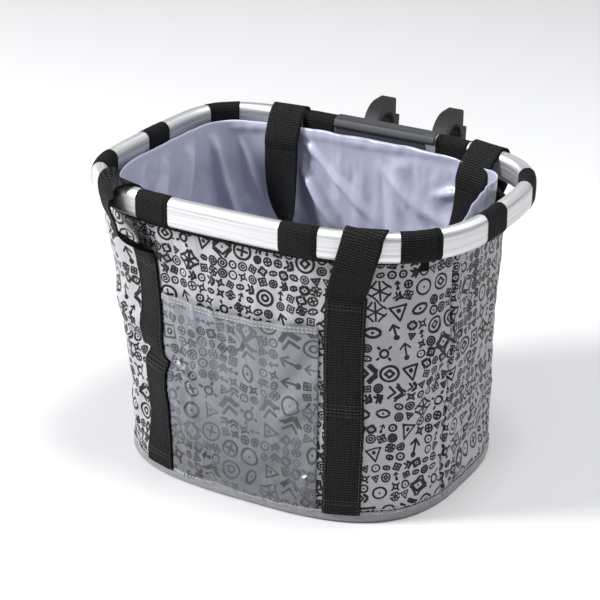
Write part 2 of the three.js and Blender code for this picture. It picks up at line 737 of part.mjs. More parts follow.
function releaseButton() {
  const { halfWidth, depth, y, proud, height } = BUTTON;
  const bottom = BRACKET.bottom - proud;
  const stem = block(-halfWidth, halfWidth, -depth / 2, depth / 2, 3, height);
  const cap = block(-halfWidth - 3, halfWidth + 3, -depth / 2 - 1.5, depth / 2 + 1.5, 0, 3.5);
  return join(stem.translate(0, y, bottom), cap.translate(0, y, bottom));
}

// A compression spring between the button and the roof of its pocket.
class Helix extends THREE.Curve {
  constructor(radius, pitch, turns) {
    super();
    Object.assign(this, { radius, pitch, turns });
  }

  getPoint(t, target = new THREE.Vector3()) {
    const turned = this.turns * t;
    const angle = 2 * Math.PI * turned;
    return target.set(this.radius * Math.cos(angle), this.radius * Math.sin(angle), this.pitch * turned);
  }
}

function buttonSpring() {
  const wire = new THREE.Shape().absarc(0, 0, 0.5, 0, 2 * Math.PI, false);
  const base = BRACKET.bottom - BUTTON.proud + BUTTON.height + GAP + 0.5;
  const room = BUTTON.travel + 8 - 2 * GAP - 1;
  const turns = 4;
  const helix = new Helix(2.6, room / turns, turns);
  const coil = new THREE.ExtrudeGeometry(wire, {
    steps: 40, curveSegments: 3, bevelEnabled: false, extrudePath: helix,
  });
  return coil.translate(0, BUTTON.y, base);
}

// The sprung catch that snaps into the notch in the tongue.
function latchCatch() {
  const { front, bottom, thickness, lip, width } = CATCH;
  const rear = BUTTON.y - BUTTON.depth / 2 - 0.8;
  const profile = shapeOf([
    [front, bottom], [rear, bottom], [rear, bottom + lip], [front + 1.5, bottom + lip],
    [front, bottom + thickness],
  ]);
  return slab(profile, 0, width);
}

add("release_button", releaseButton(), redPlastic);
add("button_spring", buttonSpring(), steel);
add("latch_catch", latchCatch(), steel);

export default basket;
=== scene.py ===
"""Looks of the handlebar basket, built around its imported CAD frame.

Lengths in this script are millimetres, and become metres when a mesh is made. Places on the bag's wall are
given by s, the distance round the wall from the middle of its front, anticlockwise from above, and by z.
"""

import math

import bmesh
import bpy
import numpy as np
from mathutils import Matrix, Vector


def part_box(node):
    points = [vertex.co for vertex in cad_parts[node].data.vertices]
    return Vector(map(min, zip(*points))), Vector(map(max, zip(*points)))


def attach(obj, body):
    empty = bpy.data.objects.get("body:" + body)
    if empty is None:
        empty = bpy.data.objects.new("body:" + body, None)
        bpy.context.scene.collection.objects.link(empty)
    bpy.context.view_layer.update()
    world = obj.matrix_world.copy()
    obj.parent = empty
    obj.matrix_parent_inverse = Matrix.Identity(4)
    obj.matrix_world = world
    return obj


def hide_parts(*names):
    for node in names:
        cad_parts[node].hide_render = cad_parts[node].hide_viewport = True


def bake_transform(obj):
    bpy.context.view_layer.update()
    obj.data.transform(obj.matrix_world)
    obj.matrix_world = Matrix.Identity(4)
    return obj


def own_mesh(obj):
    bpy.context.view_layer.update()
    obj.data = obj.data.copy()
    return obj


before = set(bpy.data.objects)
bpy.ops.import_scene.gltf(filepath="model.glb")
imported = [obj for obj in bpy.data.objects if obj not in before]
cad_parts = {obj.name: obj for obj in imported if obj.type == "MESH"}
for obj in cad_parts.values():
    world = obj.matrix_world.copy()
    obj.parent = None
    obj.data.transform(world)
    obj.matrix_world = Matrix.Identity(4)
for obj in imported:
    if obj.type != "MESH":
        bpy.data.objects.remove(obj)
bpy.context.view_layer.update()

MM = 0.001

# ---------------------------------------------------------------- dimensions shared with the CAD


def node_box(node):
    """A CAD node's lowest and highest corner, in millimetres."""
    low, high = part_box(node)
    return np.array(low) / MM, np.array(high) / MM


rim_low, rim_high = node_box("rim_frame")
TUBE = {"thick": 10.0, "wall": 1.4, "top": rim_high[2], "height": rim_high[2] - rim_low[2]}
TUBE["middle"] = TUBE["top"] - TUBE["height"] / 2
TUBE["crown"] = TUBE["top"] - TUBE["thick"] / 2
RIM = {"half_width": rim_high[0] - TUBE["thick"] / 2, "half_depth": 119.0, "corners": (2.8, 3.5, 4.9, 3.6)}
BAG = {"corners": (3.0, 3.2, 4.4, 3.0), "lean": -5.0, "top": 216.0, "bottom": 4.7}
BAG_HALF = {"base": (139.0, 113.5), "top": (149.0, 113.5)}
CORNER_SEAMS = (0.2, 0.342, 0.658, 0.8)  # turns round the wall
POCKET = {"top": 162.0, "binding": 5.0, "half": 67.0}
TAB = {"width": 30.0, "fabric": 1.4, "slack": 0.5}
TAB_PLACES = {
    "tab_front_middle": 54.5,
    "tab_front_right": 144,
    "tab_right_front": 219,
    "tab_right_rear": 302,
    "tab_rear_right": 408.5,
    "tab_rear_left": 534,
    "tab_left_rear": 625.5,
    "tab_left_middle": 714,
    "tab_left_front": 795,
    "tab_front_left": 898,
}
STRAP = {"width": 30.5, "thick": 1.5, "clear": 7.8, "sewn_top": 190.0}
HANDLE = {"bottom": 122.0, "start": 27.0}
HANDLES = {
    "front": {"side": -1, "sewn_at": (-83, 86), "crossings": (861, 105), "inside": (20.5, 18.0), "drift": 17.0},
    "rear": {"side": 1, "sewn_at": (-95, 97), "crossings": (564.3, 375), "inside": (18.5, 22.0), "drift": 15.0},
}

UP = np.array([0.0, 0.0, 1.0])

# ---------------------------------------------------------------- curves round the basket


def lerp(a, b, t):
    return a + (b - a) * t


def smoothstep(low, high, x):
    t = np.clip((x - low) / (high - low), 0, 1)
    return t * t * (3 - 2 * t)


def bump(x, width):
    return np.exp(-((x / width) ** 2))


def unit(vectors):
    return vectors / np.linalg.norm(vectors, axis=-1, keepdims=True)


def lengths_along(points):
    """How far along a line each of its points is."""
    return np.concatenate([[0], np.cumsum(np.linalg.norm(np.diff(points, axis=0), axis=1))])


def read_at(wanted, places, values):
    """Rows of values given at places, read at the wanted places between them."""
    return np.stack([np.interp(wanted, places, column) for column in np.transpose(values)], -1)


def pairs(a, b):
    """The pairs of two broadcast arrays, such as (across, along) for a map."""
    return np.stack(np.broadcast_arrays(a, b), -1)


def outline(turn, half_width, half_depth, corners):
    """A superellipse seen from above. It has a power for each corner, anticlockwise from the front right."""
    angle = 2 * np.pi * turn - np.pi / 2
    c, s = np.cos(angle), np.sin(angle)
    power = np.array(corners)[np.floor(4 * (turn % 1)).astype(int) % 4]
    r = (np.abs(c) ** power + np.abs(s) ** power) ** (-1 / power)
    return half_width * r * c, half_depth * r * s


def level_normal(tangent):
    """The level unit vectors to the right of tangents."""
    return unit(np.stack([tangent[..., 1], -tangent[..., 0], 0 * tangent[..., 0]], -1))


class Rail:
    """A closed outline, measured in millimetres along it from the middle of its front."""

    def __init__(self, half_width, half_depth, corners):
        self.turns = np.linspace(0, 1, 2881)
        x, y = outline(self.turns, half_width, half_depth, corners)
        self.points = np.stack([x, y, 0 * x], -1)
        self.lengths = lengths_along(self.points)
        self.length = self.lengths[-1]

    def turn(self, distance):
        return np.interp(np.asarray(distance) % self.length, self.lengths, self.turns)

    def at(self, distance):
        return read_at(np.asarray(distance, float) % self.length, self.lengths, self.points)

    def outward(self, distance):
        tangent = self.at(np.asarray(distance) + 0.5) - self.at(np.asarray(distance) - 0.5)
        return level_normal(tangent)


rim = Rail(RIM["half_width"], RIM["half_depth"], RIM["corners"])
rim_rear = float(rim.lengths[len(rim.lengths) // 2])
mid_wall = Rail(*(lerp(a, b, 0.5) for a, b in zip(*BAG_HALF.values())), BAG["corners"])
ROUND = mid_wall.length


def wall(s, z, out=0.0):
    """Points out millimetres outside the bag's nominal outer face."""
    s, z, out = np.broadcast_arrays(np.asarray(s, float), z, out)
    turn, rise = mid_wall.turn(s), z / BAG["top"]
    half_width, half_depth = (lerp(a, b, rise) for a, b in zip(*BAG_HALF.values()))

    def section(t):
        x, y = outline(t, half_width, half_depth, BAG["corners"])
        return np.stack([x + BAG["lean"] * rise, y, z], -1)

    tangent = section(turn + 1e-4) - section(turn - 1e-4)
    return section(turn) + level_normal(tangent) * out[..., None]


def wall_normal(s, z):
    return wall(s, z, 1.0) - wall(s, z, 0.0)


def place_of(x, z, rear=False):
    """The distance round the wall at which it passes x, on its front or rear side."""
    s = np.linspace(0.27, 0.73, 2000) * ROUND if rear else np.linspace(-0.23, 0.23, 2000) * ROUND
    order = wall(s, z)[:, 0]
    return float(np.interp(x, order[::-1], s[::-1]) if rear else np.interp(x, order, s))


SEAMS = [float(np.interp(t, mid_wall.turns, mid_wall.lengths)) for t in CORNER_SEAMS]
LEGS = {
    (name, side): place_of(x, 97, name == "rear")
    for name, handle in HANDLES.items()
    for side, x in zip(("left", "right"), handle["sewn_at"])
}


def around(count):
    """Evenly spaced places round the wall."""
    return np.arange(count) * ROUND / count


def from_place(s, place):
    """Signed distance round the wall from a place, the short way."""
    return (s - place + ROUND / 2) % ROUND - ROUND / 2


# ---------------------------------------------------------------- wrinkles


def noise(s, z, size, seed, tall=1.0):
    """Smooth noise from -1 to 1 that closes round the wall, with grains of that size."""
    columns, rows = max(3, round(ROUND / size)), 128
    grid = np.random.default_rng(seed).uniform(-1, 1, (rows, columns))
    a, b = np.asarray(s) % ROUND / ROUND * columns, (np.asarray(z) + 400) / (size * tall)
    i, j = np.floor(a).astype(int), np.floor(b).astype(int)
    u, v = smoothstep(0, 1, a - i), smoothstep(0, 1, b - j)
    low = lerp(grid[j % rows, i % columns], grid[j % rows, (i + 1) % columns], u)
    high = lerp(grid[(j + 1) % rows, i % columns], grid[(j + 1) % rows, (i + 1) % columns], u)
    return lerp(low, high, v)


def warped(s, z, size, seed, tall=1.0, warp=0.7):
    """Noise whose grains are bent, so that its lines wander as creases do."""
    ds = noise(s, z, size * 1.7, seed + 1) * size * warp
    dz = noise(s, z, size * 1.7, seed + 2) * size * warp
    return noise(s + ds, z + dz, size, seed, tall)


def fold(s, z, place, path, width, height):
    """A ridge along a path that fades at both of its ends; the path's points are (s past place, z)."""
    points = np.array([(place + a, b) for a, b in path], float)
    lengths, starts = np.linalg.norm(np.diff(points, axis=0), axis=1), lengths_along(points)
    best, along = np.full(np.shape(s), 1e9), np.zeros(np.shape(s))
    for a, b, length, start in zip(points, points[1:], lengths, starts):
        ps, pz = from_place(s, a[0]), z - a[1]
        ds, dz = (b - a) / length
        t = np.clip(ps * ds + pz * dz, 0, length)
        distance = np.hypot(ps - ds * t, pz - dz * t)
        along = np.where(distance < best, start + t, along)
        best = np.minimum(best, distance)
    share = along / starts[-1]
    fade = np.sin(np.pi * np.clip(share * 0.9 + 0.05, 0, 1)) ** 0.7
    return height * fade * bump(best, width)


def creases(s, z, size, seed, width=0.12):
    """Thin broken lines where a sheet has been folded."""
    line = bump(warped(s, z, size, seed), width)
    return line * smoothstep(0.05, 0.6, noise(s, z, size * 1.6, seed + 7))


def drape(base, normal, pinned, grow, frames, reach, gravity=0.3):
    """A closed ring of cloth, cut too large by the share grow, buckles between its pinned points.
    Returns how far each point came out along its normal, from -reach to reach."""
    obj = grid_mesh("drape", base, wrap=True)
    group = obj.vertex_groups.new(name="pinned")
    for i, weight in enumerate(pinned.ravel()):
        group.add([i], float(weight), "REPLACE")
    cloth = obj.modifiers.new("cloth", "CLOTH")
    settings = cloth.settings
    settings.vertex_group_mass = "pinned"
    settings.quality, settings.mass, settings.air_damping = 6, 0.15, 2.0
    settings.tension_stiffness = settings.compression_stiffness = 18
    settings.shear_stiffness, settings.bending_stiffness = 6, 0.35
    settings.shrink_min = -grow
    settings.effector_weights.gravity = gravity
    cloth.collision_settings.use_collision = False
    for step in range(1, frames + 1):
        bpy.context.scene.frame_set(step)
    result = obj.evaluated_get(bpy.context.evaluated_depsgraph_get()).data
    moved = np.empty(len(result.vertices) * 3)
    result.vertices.foreach_get("co", moved)
    bpy.context.scene.frame_set(1)
    bpy.data.objects.remove(obj)
    out = ((moved.reshape(base.shape) / MM - base) * normal).sum(-1)
    return reach * np.tanh(out / reach)


class Field:
    """Displacement on a grid over the wall, read between its points."""

    def __init__(self, rows, columns, low, high):
        self.low, self.high = low, high
        self.s, self.z = np.meshgrid(around(columns), np.linspace(low, high, rows))
        self.out = np.zeros((rows, columns))

    def __call__(self, s, z):
        rows, columns = self.out.shape
        a = np.asarray(s) % ROUND / ROUND * columns
        b = np.clip((np.asarray(z) - self.low) / (self.high - self.low), 0, 1) * (rows - 1)
        i, j = np.floor(a).astype(int), np.minimum(np.floor(b).astype(int), rows - 2)
        u, v = a - i, b - j
        i, k = i % columns, (i + 1) % columns
        low = lerp(self.out[j, i], self.out[j, k], u)
        return lerp(low, lerp(self.out[j + 1, i], self.out[j + 1, k], u), v)


# ---------------------------------------------------------------- meshes


def new_object(name, vertices, faces, uv=None):
    """An object from points in millimetres; uv holds a pair of millimetres for every face corner."""
    mesh = bpy.data.meshes.new(name)
    mesh.from_pydata((np.asarray(vertices).reshape(-1, 3) * MM).tolist(), [], faces)
    if uv is not None:
        layer = mesh.uv_layers.new(name="UVMap")
        layer.data.foreach_set("uv", np.asarray(uv, np.float32).ravel())
    mesh.shade_smooth()
    obj = bpy.data.objects.new(name, mesh)
    bpy.context.scene.collection.objects.link(obj)
    return obj


def grid_faces(rows, columns, wrap):
    index = np.arange(rows * columns).reshape(rows, columns)
    right = np.roll(index, -1, 1) if wrap else index[:, 1:]
    left = index if wrap else index[:, :-1]
    return np.stack([left[:-1], right[:-1], right[1:], left[1:]], -1).reshape(-1, 4)


def grid_mesh(name, points, uv=None, wrap=False):
    """A sheet through a grid of points; where it wraps, uv has one column more than points."""
    rows, columns = points.shape[:2]
    corners = None
    if uv is not None:
        corners = np.stack([uv[:-1, :-1], uv[:-1, 1:], uv[1:, 1:], uv[1:, :-1]], 2)
    return new_object(name, points, grid_faces(rows, columns, wrap).tolist(), corners)


def thicken(obj, thickness, offset):
    solid = obj.modifiers.new("thickness", "SOLIDIFY")
    solid.thickness, solid.offset = thickness * MM, offset
    solid.use_quality_normals = True
    return obj


def place(obj, body, material, slot, *nodes, collapse=False):
    """Gives a piece its material and the body it rides on, and hides the CAD nodes it replaces; slot is not
    used.
    """
    obj.data.materials.clear()
    obj.data.materials.append(material)
    if nodes:
        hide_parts(*nodes)
    if body:
        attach(obj, body)
    if collapse:
        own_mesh(obj)
    return obj


def cloth(obj, thickness, offset, body, material, slot, node, flat, held, rests_on, collapse=False, **more):
    """Thickens and places a sheet; flat, its width and length in millimetres, is not used."""
    thicken(obj, thickness, offset)
    place(obj, body, material, slot, node, collapse=collapse)
    return obj


def through(points, count, across=None):
    """A smooth line through points, evenly spaced, and the across vectors carried along it."""
    points = np.array(points, float)
    knots = np.concatenate([[0], np.cumsum(np.linalg.norm(np.diff(points, axis=0), axis=1) ** 0.5)])
    slopes = np.gradient(points, knots, axis=0)
    fine = np.linspace(0, knots[-1], count * 12)
    i = np.clip(np.searchsorted(knots, fine, side="right") - 1, 0, len(knots) - 2)
    h = (knots[i + 1] - knots[i])[:, None]
    t = ((fine - knots[i]) / h[:, 0])[:, None]
    line = (
        (2 * t**3 - 3 * t**2 + 1) * points[i]
        + (t**3 - 2 * t**2 + t) * h * slopes[i]
        + (3 * t**2 - 2 * t**3) * points[i + 1]
        + (t**3 - t**2) * h * slopes[i + 1]
    )
    lengths = lengths_along(line)
    wanted = np.linspace(0, lengths[-1], count)
    even = read_at(wanted, lengths, line)
    if across is None:
        return even, None, wanted
    return even, unit(read_at(np.interp(wanted, lengths, fine), knots, across)), wanted


def ribbon(node, points, across, seed, count, body, held):
    """A handle's strap along a line. Its ends are cut along across, and its edges wander a little."""
    line, side, along = through(points, count, across)
    tangent = unit(np.gradient(line, axis=0))
    t = along / along[-1]
    square = np.minimum(1, np.minimum(3 * t, 3 * (1 - t)))[:, None]
    side = unit(side - tangent * square * (side * tangent).sum(-1, keepdims=True))
    normal = np.cross(tangent, side)
    width, a = STRAP["width"], np.linspace(-0.5, 0.5, 13)
    wander = 0.35 * np.stack([noise(along, 31 * k, 17, seed + k) for k in range(2)], -1)
    reach = width * a + lerp(wander[:, :1], wander[:, 1:], a + 0.5)
    lift = 0.25 * noise(along[:, None], width * a, 21, seed + 5) * square
    grid = line[:, None] + side[:, None] * reach[..., None] + normal[:, None] * lift[..., None]
    obj = grid_mesh(node + ".webbing", grid, pairs(width * a, along[:, None]))
    flat = (width, along[-1])
    return cloth(obj, STRAP["thick"], 0, body, TWILL, "black_webbing", node, flat, held, "rim_tube")


def stitches(name, rows, material, slot, pitch, length, radius, collapse=True):
    """Separate stitches along rows of (points, normals), each a spindle half sunk in the fabric."""
    profile = ((-0.5, 0.35, -0.5), (-0.3, 1.0, 0.2), (0.0, 1.1, 0.35), (0.3, 1.0, 0.2), (0.5, 0.35, -0.5))
    sides = 5
    ring = np.arange(sides)
    angles = ring * 2 * np.pi / sides
    vertices, faces = [], []
    for points, normals in rows:
        lengths = lengths_along(points)
        middles = np.arange(pitch / 2, lengths[-1] - pitch / 4, pitch)
        at, up = read_at(middles, lengths, points), unit(read_at(middles, lengths, normals))
        along = unit(read_at(middles + 0.4, lengths, points) - read_at(middles - 0.4, lengths, points))
        side = np.cross(up, along)
        for c, n, t, b in zip(at, up, along, side):
            first = sum(len(v) for v in vertices)
            for step, grow, lift in profile:
                r = radius * grow
                circle = np.outer(np.cos(angles) * r, b) + np.outer(np.sin(angles) * r, n)
                vertices.append(c + t * length * step + n * radius * lift + circle)
            for k in range(len(profile) - 1):
                low, high = first + k * sides + ring, first + (k + 1) * sides + ring
                quads = np.stack([low, np.roll(low, -1), np.roll(high, -1), high], -1)
                faces += quads.tolist()
            faces += [(first + ring[::-1]).tolist(), high.tolist()]
    obj = new_object(name, np.concatenate(vertices), faces)
    return place(obj, "basket", material, slot, collapse=collapse)


def refined(node, body, material, slot, bevel, segments=3, longest_only=0.0):
    """A CAD node's own shape with its edges rounded."""
    obj = bpy.data.objects.new(node + ".shaped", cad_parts[node].data.copy())
    bpy.context.scene.collection.objects.link(obj)
    bm = bmesh.new()
    bm.from_mesh(obj.data)
    bmesh.ops.remove_doubles(bm, verts=bm.verts, dist=2e-6)
    bmesh.ops.dissolve_limit(bm, angle_limit=math.radians(1), verts=bm.verts, edges=bm.edges)
    weight = bm.edges.layers.float.new("bevel_weight_edge")
    for edge in bm.edges:
        sharp = edge.calc_face_angle(0) > math.radians(28)
        edge[weight] = float(sharp and edge.calc_length() > longest_only * MM)
    bm.to_mesh(obj.data)
    bm.free()
    rounding = obj.modifiers.new("rounding", "BEVEL")
    rounding.width, rounding.segments = bevel * MM, segments
    rounding.limit_method = "WEIGHT"
    rounding.harden_normals = True
    obj.data.shade_smooth()
    obj.data.set_sharp_from_angle(angle=math.radians(38))
    return place(obj, body, material, slot, node)


# ---------------------------------------------------------------- shader nodes


class Wire:
    """A socket of a node tree, with arithmetic."""

    def __init__(self, graph, socket):
        self.graph, self.socket = graph, socket


def operation(kind):
    return lambda wire, *others: wire.graph.math(kind, wire, *others)


OPERATIONS = {
    "__add__": "ADD",
    "__sub__": "SUBTRACT",
    "__mul__": "MULTIPLY",
    "__truediv__": "DIVIDE",
    "__gt__": "GREATER_THAN",
    "floor": "FLOOR",
    "fraction": "FRACT",
    "size": "ABSOLUTE",
    "wave": "SINE",
}
for method, kind in OPERATIONS.items():
    setattr(Wire, method, operation(kind))


class Graph:
    """A procedural material under construction."""

    def __init__(self, name, **shader):
        self.material = bpy.data.materials.new(name)
        self.material.use_nodes = True
        self.tree = self.material.node_tree
        self.shader = self.tree.nodes["Principled BSDF"]
        for key, value in shader.items():
            self.shader.inputs[key.replace("_", " ")].default_value = value

    def node(self, kind, inputs=None, **properties):
        made = self.tree.nodes.new(kind)
        for key, value in properties.items():
            setattr(made, key, value)
        for key, value in (inputs or {}).items():
            self.feed(made.inputs[key], value)
        return made

    def feed(self, socket, value):
        if isinstance(value, Wire):
            self.tree.links.new(value.socket, socket)
        else:
            socket.default_value = value

    def math(self, operation, *values, clamp=False):
        made = self.node("ShaderNodeMath", dict(enumerate(values)), operation=operation, use_clamp=clamp)
        return Wire(self, made.outputs[0])

    def uv(self):
        """The metric surface coordinates, in millimetres."""
        coordinates = self.tree.nodes.new("ShaderNodeUVMap")
        coordinates.uv_map = "UVMap"
        split = self.node("ShaderNodeSeparateXYZ", {0: Wire(self, coordinates.outputs[0])})
        return Wire(self, split.outputs[0]), Wire(self, split.outputs[1])

    def solid(self):
        """The object's own coordinates in millimetres, for pieces that have no metric map."""
        coordinates = self.tree.nodes.new("ShaderNodeTexCoord")
        inputs = {0: Wire(self, coordinates.outputs["Object"]), "Scale": 1 / MM}
        scale = self.node("ShaderNodeVectorMath", inputs, operation="SCALE")
        return Wire(self, scale.outputs[0])

    def vector(self, x, y, z=0.0):
        return Wire(self, self.node("ShaderNodeCombineXYZ", {0: x, 1: y, 2: z}).outputs[0])

    def noise(self, vector, scale, detail=2.0, roughness=0.5):
        inputs = {"Vector": vector, "Scale": scale, "Detail": detail, "Roughness": roughness}
        return Wire(self, self.node("ShaderNodeTexNoise", inputs).outputs["Fac"])

    def random(self, x, y, z=0.0):
        """A random value and a random colour's three channels for each x, y, z."""
        made = self.node("ShaderNodeTexWhiteNoise", {0: self.vector(x, y, z)}, noise_dimensions="3D")
        split = self.node("ShaderNodeSeparateXYZ", {0: Wire(self, made.outputs["Color"])})
        return [Wire(self, made.outputs["Value"])] + [Wire(self, o) for o in split.outputs]

    def step(self, value, low, high, start=0.0, end=1.0):
        inputs = {"Value": value, "From Min": low, "From Max": high, "To Min": start, "To Max": end}
        made = self.node("ShaderNodeMapRange", inputs, interpolation_type="SMOOTHSTEP")
        return Wire(self, made.outputs[0])

    def blend(self, share, a, b):
        made = self.node("ShaderNodeMix", data_type="RGBA")
        for socket, value in zip((made.inputs[0], made.inputs[6], made.inputs[7]), (share, a, b)):
            if not isinstance(value, (Wire, float, int)):
                value = (*value, 1.0)
            self.feed(socket, value)
        return Wire(self, made.outputs[2])

    def table(self, place, rows):
        """Four values looked up from rows of (a, b, c, d), each from 0 to 1."""
        ramp = self.node("ShaderNodeValToRGB", {0: place})
        ramp.color_ramp.interpolation = "CONSTANT"
        elements = ramp.color_ramp.elements
        elements.remove(elements[-1])
        elements[0].position, elements[0].color = 0, rows[0]
        for i, row in enumerate(rows[1:], 1):
            elements.new(i / len(rows)).color = row
        split = self.node("ShaderNodeSeparateXYZ", {0: Wire(self, ramp.outputs[0])})
        return [Wire(self, o) for o in split.outputs] + [Wire(self, ramp.outputs[1])]

    def finish(self, color, roughness=None, height=None, depth=0.1, strength=0.6):
        """Connects the surface; height is in units of depth millimetres."""
        self.feed(self.shader.inputs["Base Color"], color)
        if roughness is not None:
            self.feed(self.shader.inputs["Roughness"], roughness)
        if height is not None:
            inputs = {"Height": height, "Distance": depth * MM, "Strength": strength}
            relief = self.node("ShaderNodeBump", inputs)
            self.feed(self.shader.inputs["Normal"], Wire(self, relief.outputs[0]))
        return self.material


# ---------------------------------------------------------------- printed marks

# Abstract marks: two strokes and an arc each, mirrored or not, in a cell from -0.5 to 0.5.
# Each row is stroke A (x, y, x, y), stroke B, arc (x, y, radius, half span in half turns), and
# (mirror x, mirror y, spread into two rings, bold).
FAR = (0.9, 0.9, 0.9, 0.9)
MARKS = [
    # ring with a dot
    ((0, 0, 0.001, 0), FAR, (0, 0, 0.36, 1), (0, 0, 0, 0.6)),
    # fletched arrow
    ((0, -0.42, 0, 0.42), (0, 0.42, 0.22, 0.16), (0, -0.33, 0.09, 1), (1, 0, 0, 0.3)),
    # six-armed star
    ((0, 0, 0, 0.43), (0, 0, 0.37, 0.21), FAR, (1, 1, 0, 0.4)),
    # lozenge with a dot
    ((0.34, 0, 0, 0.43), (0, 0, 0.001, 0), FAR, (1, 1, 0, 0.7)),
    # double chevron
    ((0, 0.38, 0.33, 0.06), (0, 0.04, 0.33, -0.28), FAR, (1, 0, 0, 1.0)),
    # cross in a ring
    ((0, 0, 0, 0.22), (0, 0, 0.22, 0), (0, 0, 0.38, 1), (1, 1, 0, 0.4)),
    # eye
    ((0, 0, 0.001, 0), FAR, (0, -0.24, 0.46, 0.32), (1, 1, 0, 0.8)),
    # triangle with a dot
    ((0, 0.42, 0.36, -0.24), (0, -0.24, 0.36, -0.24), (0, -0.04, 0.05, 1), (1, 0, 0, 0.3)),
    # dashes round a small ring
    ((0.24, 0.24, 0.31, 0.31), FAR, (0, 0, 0.19, 1), (1, 1, 0, 0.9)),
    # square with a ring
    ((0.31, 0, 0.31, 0.31), (0, 0.31, 0.31, 0.31), (0, 0, 0.12, 1), (1, 1, 0, 0.4)),
    # two rings
    (FAR, FAR, (0, 0, 0.28, 1), (0, 0, 0.12, 0.6)),
    # lozenge in a ring
    ((0.19, 0, 0, 0.19), FAR, (0, 0, 0.38, 1), (1, 1, 0, 0.5)),
]


def print_marks(g, u, v, cell):
    """How dark the print is at (u, v): large marks and fours of small ones in shifted rows."""
    row = (v / cell).floor()
    column = u / cell + g.random(row, 2.3)[0] * 7.0
    y = v / cell
    choice = g.random(column.floor(), row, 4.1)[0]
    split = (choice > 0.45) + 1.0
    column, y = column * split, y * split
    cell_x, cell_y = column.floor(), y.floor()
    kind, turn, scale, bold = g.random(cell_x, cell_y, split)
    quarter = (turn * 4.0).floor() * (math.pi / 2)
    angle = quarter + ((turn * 61.0).fraction() - 0.5) * 0.9
    scale = scale * 0.26 + 0.84
    px, py = (column - cell_x - 0.5) / scale, (y - cell_y - 0.5) / scale
    cosine, sine = g.math("COSINE", angle), g.math("SINE", angle)
    rx, ry = px * cosine - py * sine, px * sine + py * cosine

    def parameters(part):
        rows = [tuple(value / 2 + 0.5 for value in mark[part]) for mark in MARKS]
        return [value * 2.0 - 1.0 for value in g.table(kind, rows)]

    mirror_x, mirror_y, spread, heavy = g.table(kind, [mark[3] for mark in MARKS])
    rx = rx + (rx.size() - rx) * mirror_x
    ry = ry + (ry.size() - ry) * mirror_y

    def stroke(ax, ay, bx, by):
        dx, dy, qx, qy = bx - ax, by - ay, rx - ax, ry - ay
        share = g.math("DIVIDE", qx * dx + qy * dy, dx * dx + dy * dy + 1e-5, clamp=True)
        ex, ey = qx - dx * share, qy - dy * share
        return g.math("SQRT", ex * ex + ey * ey)

    def arc(cx, cy, radius, span):
        qx, qy = rx - cx, ry - cy
        ring = ((g.math("SQRT", qx * qx + qy * qy) - radius).size() - spread).size()
        angle_off = g.math("ARCTAN2", qx, qy).size() / math.pi
        return ring + (angle_off > span) * 1.0

    a, b, c = stroke(*parameters(0)), stroke(*parameters(1)), arc(*parameters(2))
    nearest = g.math("MINIMUM", g.math("MINIMUM", a, b), c) * cell / split * scale
    rough = (g.noise(g.vector(u, v), 1.4, 2.0) - 0.5) * 0.4
    half_width = (bold * 0.35 + heavy * 0.35 + 0.62) * g.math("POWER", split, -0.35)
    return g.step(nearest + rough, half_width - 0.16, half_width + 0.16, 1.0, 0.0)


# ---------------------------------------------------------------- materials


def weave(g, u, v, pitch):
    """A plain weave of threads, from 0 to 1."""
    a = (u * (2 * math.pi / pitch)).wave()
    b = (v * (2 * math.pi / pitch)).wave()
    return a * b * 0.5 + 0.5


def printed_fabric():
    g = Graph("printed_silver_fabric", Specular_IOR_Level=0.2)
    u, v = g.uv()
    mark = print_marks(g, u, v, 17.0)
    threads = weave(g, u, v, 0.9)
    slub = g.noise(g.vector(u * 0.35, v * 2.2), 1.0, 3.0)
    speckle = g.noise(g.vector(u, v), 1.7, 2.0, 0.7)
    cloudy = g.noise(g.vector(u, v), 0.02, 2.0)
    light = g.blend(speckle, (0.30, 0.302, 0.312), (0.60, 0.60, 0.61))
    light = g.blend(slub * 0.35, light, (0.36, 0.36, 0.375))
    light = g.blend(cloudy * 0.3, light, (0.44, 0.45, 0.48))
    color = g.blend(mark * 0.99, light, (0.006, 0.006, 0.007))
    roughness = mark * -0.12 + speckle * 0.2 + 0.42
    return g.finish(color, roughness, threads + slub * 0.8, 0.12, 0.5)


def pocket_film():
    shader = {"Sheen_Weight": 0.05, "Coat_Weight": 0.35, "Coat_Roughness": 0.22, "Specular_IOR_Level": 0.6}
    g = Graph("pocket_silver_film", **shader)
    u, v = g.uv()
    mark = print_marks(g, v + 311.0, u * -1.0 + 57.0, 18.0)
    patchy = g.noise(g.vector(u, v), 0.028, 1.0)
    strength = g.step(patchy, 0.42, 0.62, 0.62, 0.96)
    threads = weave(g, u, v, 0.8)
    streak = g.noise(g.vector(u * 2.4, v * 0.12), 1.0, 2.0)
    light = g.blend(streak, (0.15, 0.163, 0.20), (0.215, 0.23, 0.275))
    light = g.blend(patchy, light, (0.20, 0.21, 0.235))
    # Painted shade: the film's ground colour is darkened towards the bottom of the pocket.
    light = g.blend(g.step(v, 20.0, 120.0, 0.7, 0.0), light, (0.085, 0.088, 0.10))
    color = g.blend(mark * strength, light, (0.010, 0.010, 0.014))
    return g.finish(color, streak * 0.14 + 0.22, threads + streak, 0.1, 0.4)


def lining_satin():
    shader = {"Sheen_Weight": 0.2, "Sheen_Roughness": 0.3, "Specular_IOR_Level": 0.55, "Anisotropic": 0.35}
    g = Graph("lavender_satin", **shader)
    u, v = g.uv()
    thread = g.noise(g.vector(u * 3.2, v * 0.25), 1.0, 2.0)
    cross = g.noise(g.vector(u * 0.3, v * 3.0), 1.0, 1.0)
    cloudy = g.noise(g.vector(u, v), 0.016, 3.0)
    color = g.blend(cloudy, (0.38, 0.395, 0.51), (0.50, 0.515, 0.64))
    color = g.blend(thread * 0.25, color, (0.55, 0.565, 0.67))
    return g.finish(color, thread * 0.12 + 0.24, thread + cross * 0.6, 0.06, 0.35)


